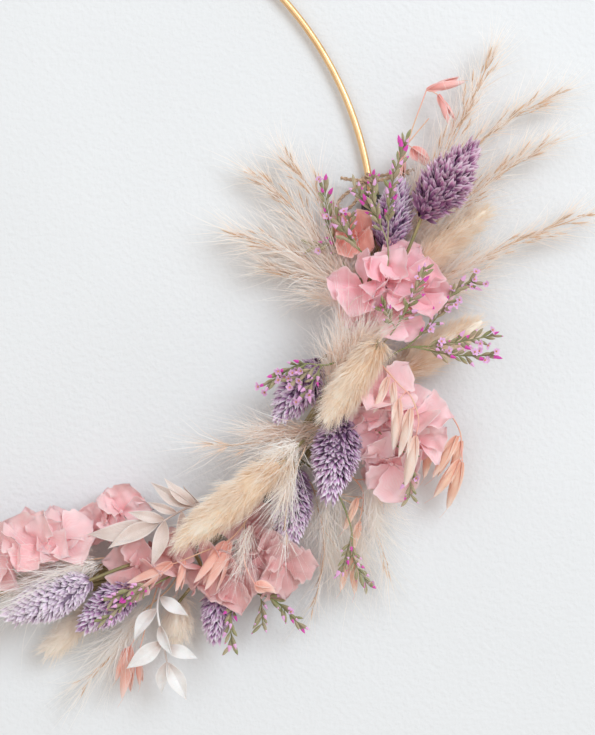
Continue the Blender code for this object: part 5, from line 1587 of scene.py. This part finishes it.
class WREATH_OT_oats(bpy.types.Operator, SprayMaker):
    """Make the oat sprays, with husks that part at their tips"""
    bl_idname = "wreath.oats"
    bl_label = "Make Oats"

    def execute(self, context):
        settings = context.scene.wreath.oats
        for i, spray in enumerate(OATS, 1):
            colour = getattr(settings, spray.tint)
            deep = dimmed(colour, HUSK_DEPTH)
            husk = petal_material(f"{spray.tint} husks", colour, deep, lines=6.0, fan=-0.4, vein_share=0.6,
                                  glow=0.3, tip_share=0.7)
            twig = stalk_material("oat twig", settings.twig, colour, deep)
            node, draw, pile, paths = self.start_spray("oats", i, spray)
            for base, tip in spray.shoots:
                self.put_spikelet(pile, paths, spray, at(base), at(tip), settings, draw)
            put_piece(f"oat_husks_{i}", pile, [twig, husk], "oats", node)
        return {"FINISHED"}

    def put_spikelet(self, pile, paths, spray, base, tip, settings, draw):
        """Three husks that part towards their tips, and a bristle between them."""
        joint = self.joint(paths, base)
        axis = tip - base
        length = np.linalg.norm(axis)
        ahead = axis / length
        if np.linalg.norm(joint - base) > 0.5 * MM:
            bow = (joint + base) / 2 + UP * 0.5 * MM
            put_tube(pile, smooth([joint, bow, base + ahead * 0.5 * MM], 0.8 * MM), 0.22 * MM, 6)
        side = unit(np.cross(ahead, UP))
        over = np.cross(side, ahead)
        width = length * settings.husk_width * (BUD_PLUMPNESS if length < BUD_LENGTH else 1.0)
        parting = draw.uniform(*PARTINGS[spray.tint])
        roll = math.radians(draw.uniform(10, 50))
        for turn, reach, part in ((roll, 1.0, parting), (roll - 2.6, 0.94, parting), (roll - 1.3, 0.7, 0.0)):
            facing = swung(over, side, turn)
            end = base + unit(ahead + facing * part) * length * reach
            grid = blade_grid(base, end, facing, width, HUSK, draw, 12, 7, arch=0.09, cup=-0.42,
                              fold=-0.1, curl=0.01)
            put_sheet(pile, grid, HUSK_THICKNESS, draw.uniform(), kind=1)
        start = base + ahead * length * 0.5
        end = base + unit(ahead + side * 0.08) * length * AWN_REACH
        awn = smooth([start, base + ahead * length * 0.95, end], 2 * MM)
        put_tube(pile, awn, np.linspace(0.12, 0.04, len(awn)) * MM, 4)


class WREATH_OT_ruscus(bpy.types.Operator, SprayMaker):
    """Make the bleached ruscus sprigs"""
    bl_idname = "wreath.ruscus"
    bl_label = "Make Ruscus"

    def execute(self, context):
        settings = context.scene.wreath.ruscus
        for i, spray in enumerate(RUSCUS, 1):
            colour = getattr(settings, spray.tint)
            veins, width = (0.2, settings.broad) if spray.tint == "white" else (0.8, settings.slim)
            leaf = petal_material(f"{spray.tint} leaves", colour, settings.vein, lines=8.0, fan=-0.4,
                                  vein_share=veins, glow=0.3, roughness=0.5)
            stalk = stalk_material(f"{spray.tint} stalk", colour, settings.vein, settings.vein)
            node, draw, pile, paths = self.start_spray("ruscus", i, spray)
            for base, tip in spray.shoots:
                start, end = at(base), at(tip)
                joint = self.joint(paths, start)
                length = np.linalg.norm(end - joint)
                grid = blade_grid(joint, end, unit(UP + draw.normal(0, 0.35, 3)), length * width, LEAF,
                                  draw, 18, 11, arch=draw.uniform(0.04, 0.12),
                                  cup=draw.uniform(-0.05, 0.05), fold=draw.uniform(0.08, 0.3),
                                  bend=draw.uniform(-0.09, 0.09), curl=draw.uniform(-0.08, 0.08))
                put_sheet(pile, grid, LEAF_THICKNESS, draw.uniform(), kind=1)
            put_piece(f"ruscus_leaves_{i}", pile, [stalk, leaf], "ruscus", node)
        return {"FINISHED"}


class WREATH_OT_statice(bpy.types.Operator, SprayMaker):
    """Make the sea lavender sprays, with buds and a few open flowers"""
    bl_idname = "wreath.statice"
    bl_label = "Make Sea Lavender"

    def execute(self, context):
        settings = context.scene.wreath.statice
        stalk = stalk_material("statice stalk", settings.green, settings.olive, settings.brown)
        bud = bud_material(settings)
        lilac = petal_material("lilac flowers", settings.lilac, dimmed(settings.lilac, LILAC_DEPTH),
                               lines=3.0, fan=0.5, vein_share=0.2, glow=0.3)
        heart = petal_material("orange hearts", settings.orange, settings.brown, lines=2.0, fan=0.0,
                               vein_share=0.2, glow=0.2)
        for i, spray in enumerate(STATICE, 1):
            node, draw, pile, paths = self.start_spray("statice", i, spray)
            self.put_buds(pile, paths, FLOWERS[spray.tint], settings, draw)
            put_piece(f"statice_buds_{i}", pile, [stalk, bud, lilac, heart], "statice", node)
        return {"FINISHED"}

    def put_buds(self, pile, paths, flowers, settings, draw):
        """Buds in two rows on the upper side of the twigs, like the teeth of a comb."""
        shape = spindle_shape(8, 6, 0.58, rib=0.1, foot=0.25)
        for spot, ahead, share in self.spots(paths, settings.bud_spacing, 0.3, 0.2):
            side = unit(np.cross(ahead, UP))
            over = np.cross(side, ahead)
            for half in (-1, 1):
                turn = half * draw.uniform(0.3, 1.4)
                lean = math.radians(draw.uniform(18, 52))
                aim = unit(swung(ahead, swung(over, side, turn), lean))
                length = draw.uniform(4.8, 8.0) * MM
                width = length * draw.uniform(0.09, 0.125)
                across = any_normal(aim)
                axes = np.array([[across * width, np.cross(aim, across) * width, aim * length]])
                start = spot + ahead * half * 0.7 * MM - aim * 0.3 * MM
                put_copies(pile, shape, start[None], axes, draw.uniform(), share, kind=1)
                if draw.uniform() < flowers:
                    self.put_flower(pile, start + aim * length * 0.9, unit(aim + UP * 0.8), draw)

    def put_flower(self, pile, middle, facing, draw):
        """A small lilac flower with five petals and an orange heart."""
        side = any_normal(facing)
        over = np.cross(facing, side)
        spin = draw.uniform(0, math.tau)
        for k in range(FLOWER_PETALS):
            point = swung(side, over, spin + k * math.tau / FLOWER_PETALS)
            end = middle + unit(point + facing * draw.uniform(0.1, 0.8)) * draw.uniform(1.5, 2.4) * MM
            grid = blade_grid(middle, end, facing, FLOWER_PETAL_WIDTH, PETAL, draw, 6, 5, cup=0.2)
            put_sheet(pile, grid, FLOWER_THICKNESS, draw.uniform(), kind=2)
        axes = np.array([[side * 0.4 * MM, over * 0.4 * MM, facing * 1.0 * MM]])
        put_copies(pile, spindle_shape(6, 5, 0.5), middle[None], axes, 0.7, kind=3)


class WREATH_OT_plumes(bpy.types.Operator, SprayMaker):
    """Make the feathery grass plumes, with slim spikelets and silky hair"""
    bl_idname = "wreath.plumes"
    bl_label = "Make Plumes"

    def execute(self, context):
        settings = context.scene.wreath.plumes
        sheaf = context.scene.wreath.sheaf
        stalk = stalk_material("plume stalk", settings.brown, settings.pale, sheaf.shade)
        for i, spray in enumerate(PLUMES, 1):
            brown = spray.tint == "brown"
            colour = settings.brown if brown else settings.pale
            husk_name = "brown spikelets" if brown else "pale spikelets"
            husk = petal_material(husk_name, colour, dimmed(colour, SPIKELET_DEPTH), lines=2.0, fan=0.0,
                                  vein_share=0.35, glow=0.3)
            root = getattr(settings, f"{spray.tint}_root")
            hair = hair_material(f"{spray.tint} hair", root, settings.hair)
            node, draw, pile, paths = self.start_spray("plume", i, spray)
            for path in paths:
                self.put_branches(pile, path, BROWN if brown else SILKY, settings, draw)
            for foot, tip in spray.shoots:
                self.put_tuft(pile, at(foot), at(tip), settings, draw)
            put_piece(f"plume_hairs_{i}", pile, [stalk, husk, hair], "plume", node)
        return {"FINISHED"}

    def put_branches(self, pile, path, feathers, settings, draw):
        """Side twigs that shorten towards the plume's tip, each with slim spikelets and hair."""
        way = travelled(path)
        spacing = settings.branch_spacing * feathers.gap
        due = np.arange(way[-1] * 0.1, way[-1] - 1 * MM, spacing)
        index = np.searchsorted(way, due)
        ahead = unit(np.gradient(path, axis=0))[index]
        share = due / way[-1]
        reach = (4.0 + 14.0 * (1 - share) ** 0.8 * draw.uniform(0.5, 1.1, len(due))) * MM
        aim = self.leaned(ahead, (8, 30), draw)
        droop = unit(aim + ahead * 0.7)
        steps = np.linspace(0, 1, 4)[:, None]
        twigs = (path[index][:, None] + aim[:, None] * reach[:, None, None] * steps * (1 - steps * 0.4)
                 + droop[:, None] * reach[:, None, None] * steps ** 2 * 0.4)
        put_tubes(pile, twigs, np.array((0.16, 0.13, 0.1, 0.07)) * MM, 3, luck=draw.uniform(0, 1, len(due)))
        for step, chance in ((1, 0.4), (2, 0.7), (3, 1.0)):
            keep = draw.uniform(0, 1, len(due)) < chance * feathers.share
            keep[0] = True
            spot = twigs[keep, step]
            lead = unit(twigs[keep, step] - twigs[keep, step - 1])
            self.put_spikelets(pile, spot, lead, share[keep], draw)
            spots = np.repeat(spot, feathers.hairs, axis=0)
            leads = np.repeat(lead, feathers.hairs, axis=0)
            self.put_hairs(pile, spots, leads, feathers.lengths, (4, 40), settings, draw)

    def put_spikelets(self, pile, spot, lead, share, draw):
        """A slim pointed spikelet at each of the spots."""
        count = len(spot)
        aim = self.leaned(lead, (2, 16), draw)
        length = draw.uniform(4.5, 7.5, count) * MM
        across = any_normal(aim)
        over = np.cross(aim, across)
        width = (0.058 * length)[:, None]
        axes = np.stack((across * width, over * width, aim * length[:, None]), axis=1)
        put_copies(pile, spindle_shape(5, 5, 0.35), spot - aim * 0.5 * MM, axes,
                   draw.uniform(0, 1, count), share, kind=1)

    def put_hairs(self, pile, spot, lead, lengths, leans, settings, draw, rows=3, curl=0.5):
        """Fine hairs of mixed thickness that leave their spots round the leads and bend."""
        count = len(spot)
        aim = self.leaned(lead, leans, draw)
        length = (draw.uniform(*lengths, count) * MM)[:, None, None]
        bend = unit(lead * 0.6 + draw.normal(0, curl, aim.shape))
        start = spot + aim * draw.uniform(0, 2, (count, 1)) * MM
        steps = np.linspace(0, 1, rows)[:, None]
        lines = start[:, None] + (aim[:, None] * steps + bend[:, None] * steps ** 2 * curl * 0.8) * length
        bold = 0.6 + 2.4 * draw.uniform(0, 1, (count, 1)) ** 3
        thick = settings.hair_width / 2 * bold * (1 - steps[:, 0] ** 2)
        put_tubes(pile, kept_near(lines), thick, 3, pointed=True, luck=draw.uniform(0, 1, count), kind=2)

    def put_tuft(self, pile, foot, tip, settings, draw):
        """A tuft of long hairs that spread from its foot towards its tip."""
        axis = tip - foot
        length = np.linalg.norm(axis) / MM
        count = int(length * TUFT_HAIRS)
        spot = foot + axis * draw.uniform(0, 0.5, (count, 1)) + draw.normal(0, 1.3, (count, 3)) * MM
        lead = np.broadcast_to(axis / (length * MM), spot.shape)
        self.put_hairs(pile, spot, lead, (length * 0.28, length * 0.66), (0, 34), settings, draw, 4, 1.0)

    def leaned(self, lead, leans, draw):
        """Directions that lean away from the leads, each to a side of its own."""
        turn = draw.uniform(0, math.tau, (len(lead), 1))
        side = any_normal(lead)
        out = swung(side, np.cross(lead, side), turn)
        lean = np.radians(draw.uniform(*leans, (len(lead), 1)))
        return unit(swung(lead, out, lean))


class WREATH_PT_panel(bpy.types.Panel):
    """Lists the wreath's makers and their settings"""
    bl_idname = "WREATH_PT_panel"
    bl_label = "Dried Flower Wreath"
    bl_space_type = "VIEW_3D"
    bl_region_type = "UI"
    bl_category = "Wreath"

    def draw(self, context):
        layout = self.layout
        settings = context.scene.wreath
        for operator, group in MAKERS:
            box = layout.box()
            box.operator(operator.bl_idname)
            values = getattr(settings, group)
            for name in values.__annotations__:
                box.prop(values, name)


MAKERS = (
    (WREATH_OT_stage, "stage"),
    (WREATH_OT_hoop, "hoop"),
    (WREATH_OT_sheaf, "sheaf"),
    (WREATH_OT_twine, "twine"),
    (WREATH_OT_phalaris, "phalaris"),
    (WREATH_OT_lagurus, "lagurus"),
    (WREATH_OT_hydrangea, "petals"),
    (WREATH_OT_oats, "oats"),
    (WREATH_OT_ruscus, "ruscus"),
    (WREATH_OT_statice, "statice"),
    (WREATH_OT_plumes, "plumes"),
)
GROUPS = (
    StageSettings, HoopSettings, SheafSettings, TwineSettings, PhalarisSettings, LagurusSettings,
    PetalSettings, OatSettings, RuscusSettings, StaticeSettings, PlumeSettings, WreathSettings,
)
CLASSES = (*GROUPS, *(operator for operator, _ in MAKERS), WREATH_PT_panel)


def register():
    for cls in CLASSES:
        bpy.utils.register_class(cls)
    bpy.types.Scene.wreath = PointerProperty(type=WreathSettings)


def unregister():
    del bpy.types.Scene.wreath
    for cls in reversed(CLASSES):
        bpy.utils.unregister_class(cls)


def main():
    register()
    bpy.ops.wreath.stage()
    bpy.ops.wreath.hoop()
    bpy.ops.wreath.sheaf()
    bpy.ops.wreath.twine()
    bpy.ops.wreath.phalaris()
    bpy.ops.wreath.lagurus()
    bpy.ops.wreath.hydrangea()
    bpy.ops.wreath.oats()
    bpy.ops.wreath.ruscus()
    bpy.ops.wreath.statice()
    bpy.ops.wreath.plumes()


if __name__ == "__main__":
    main()
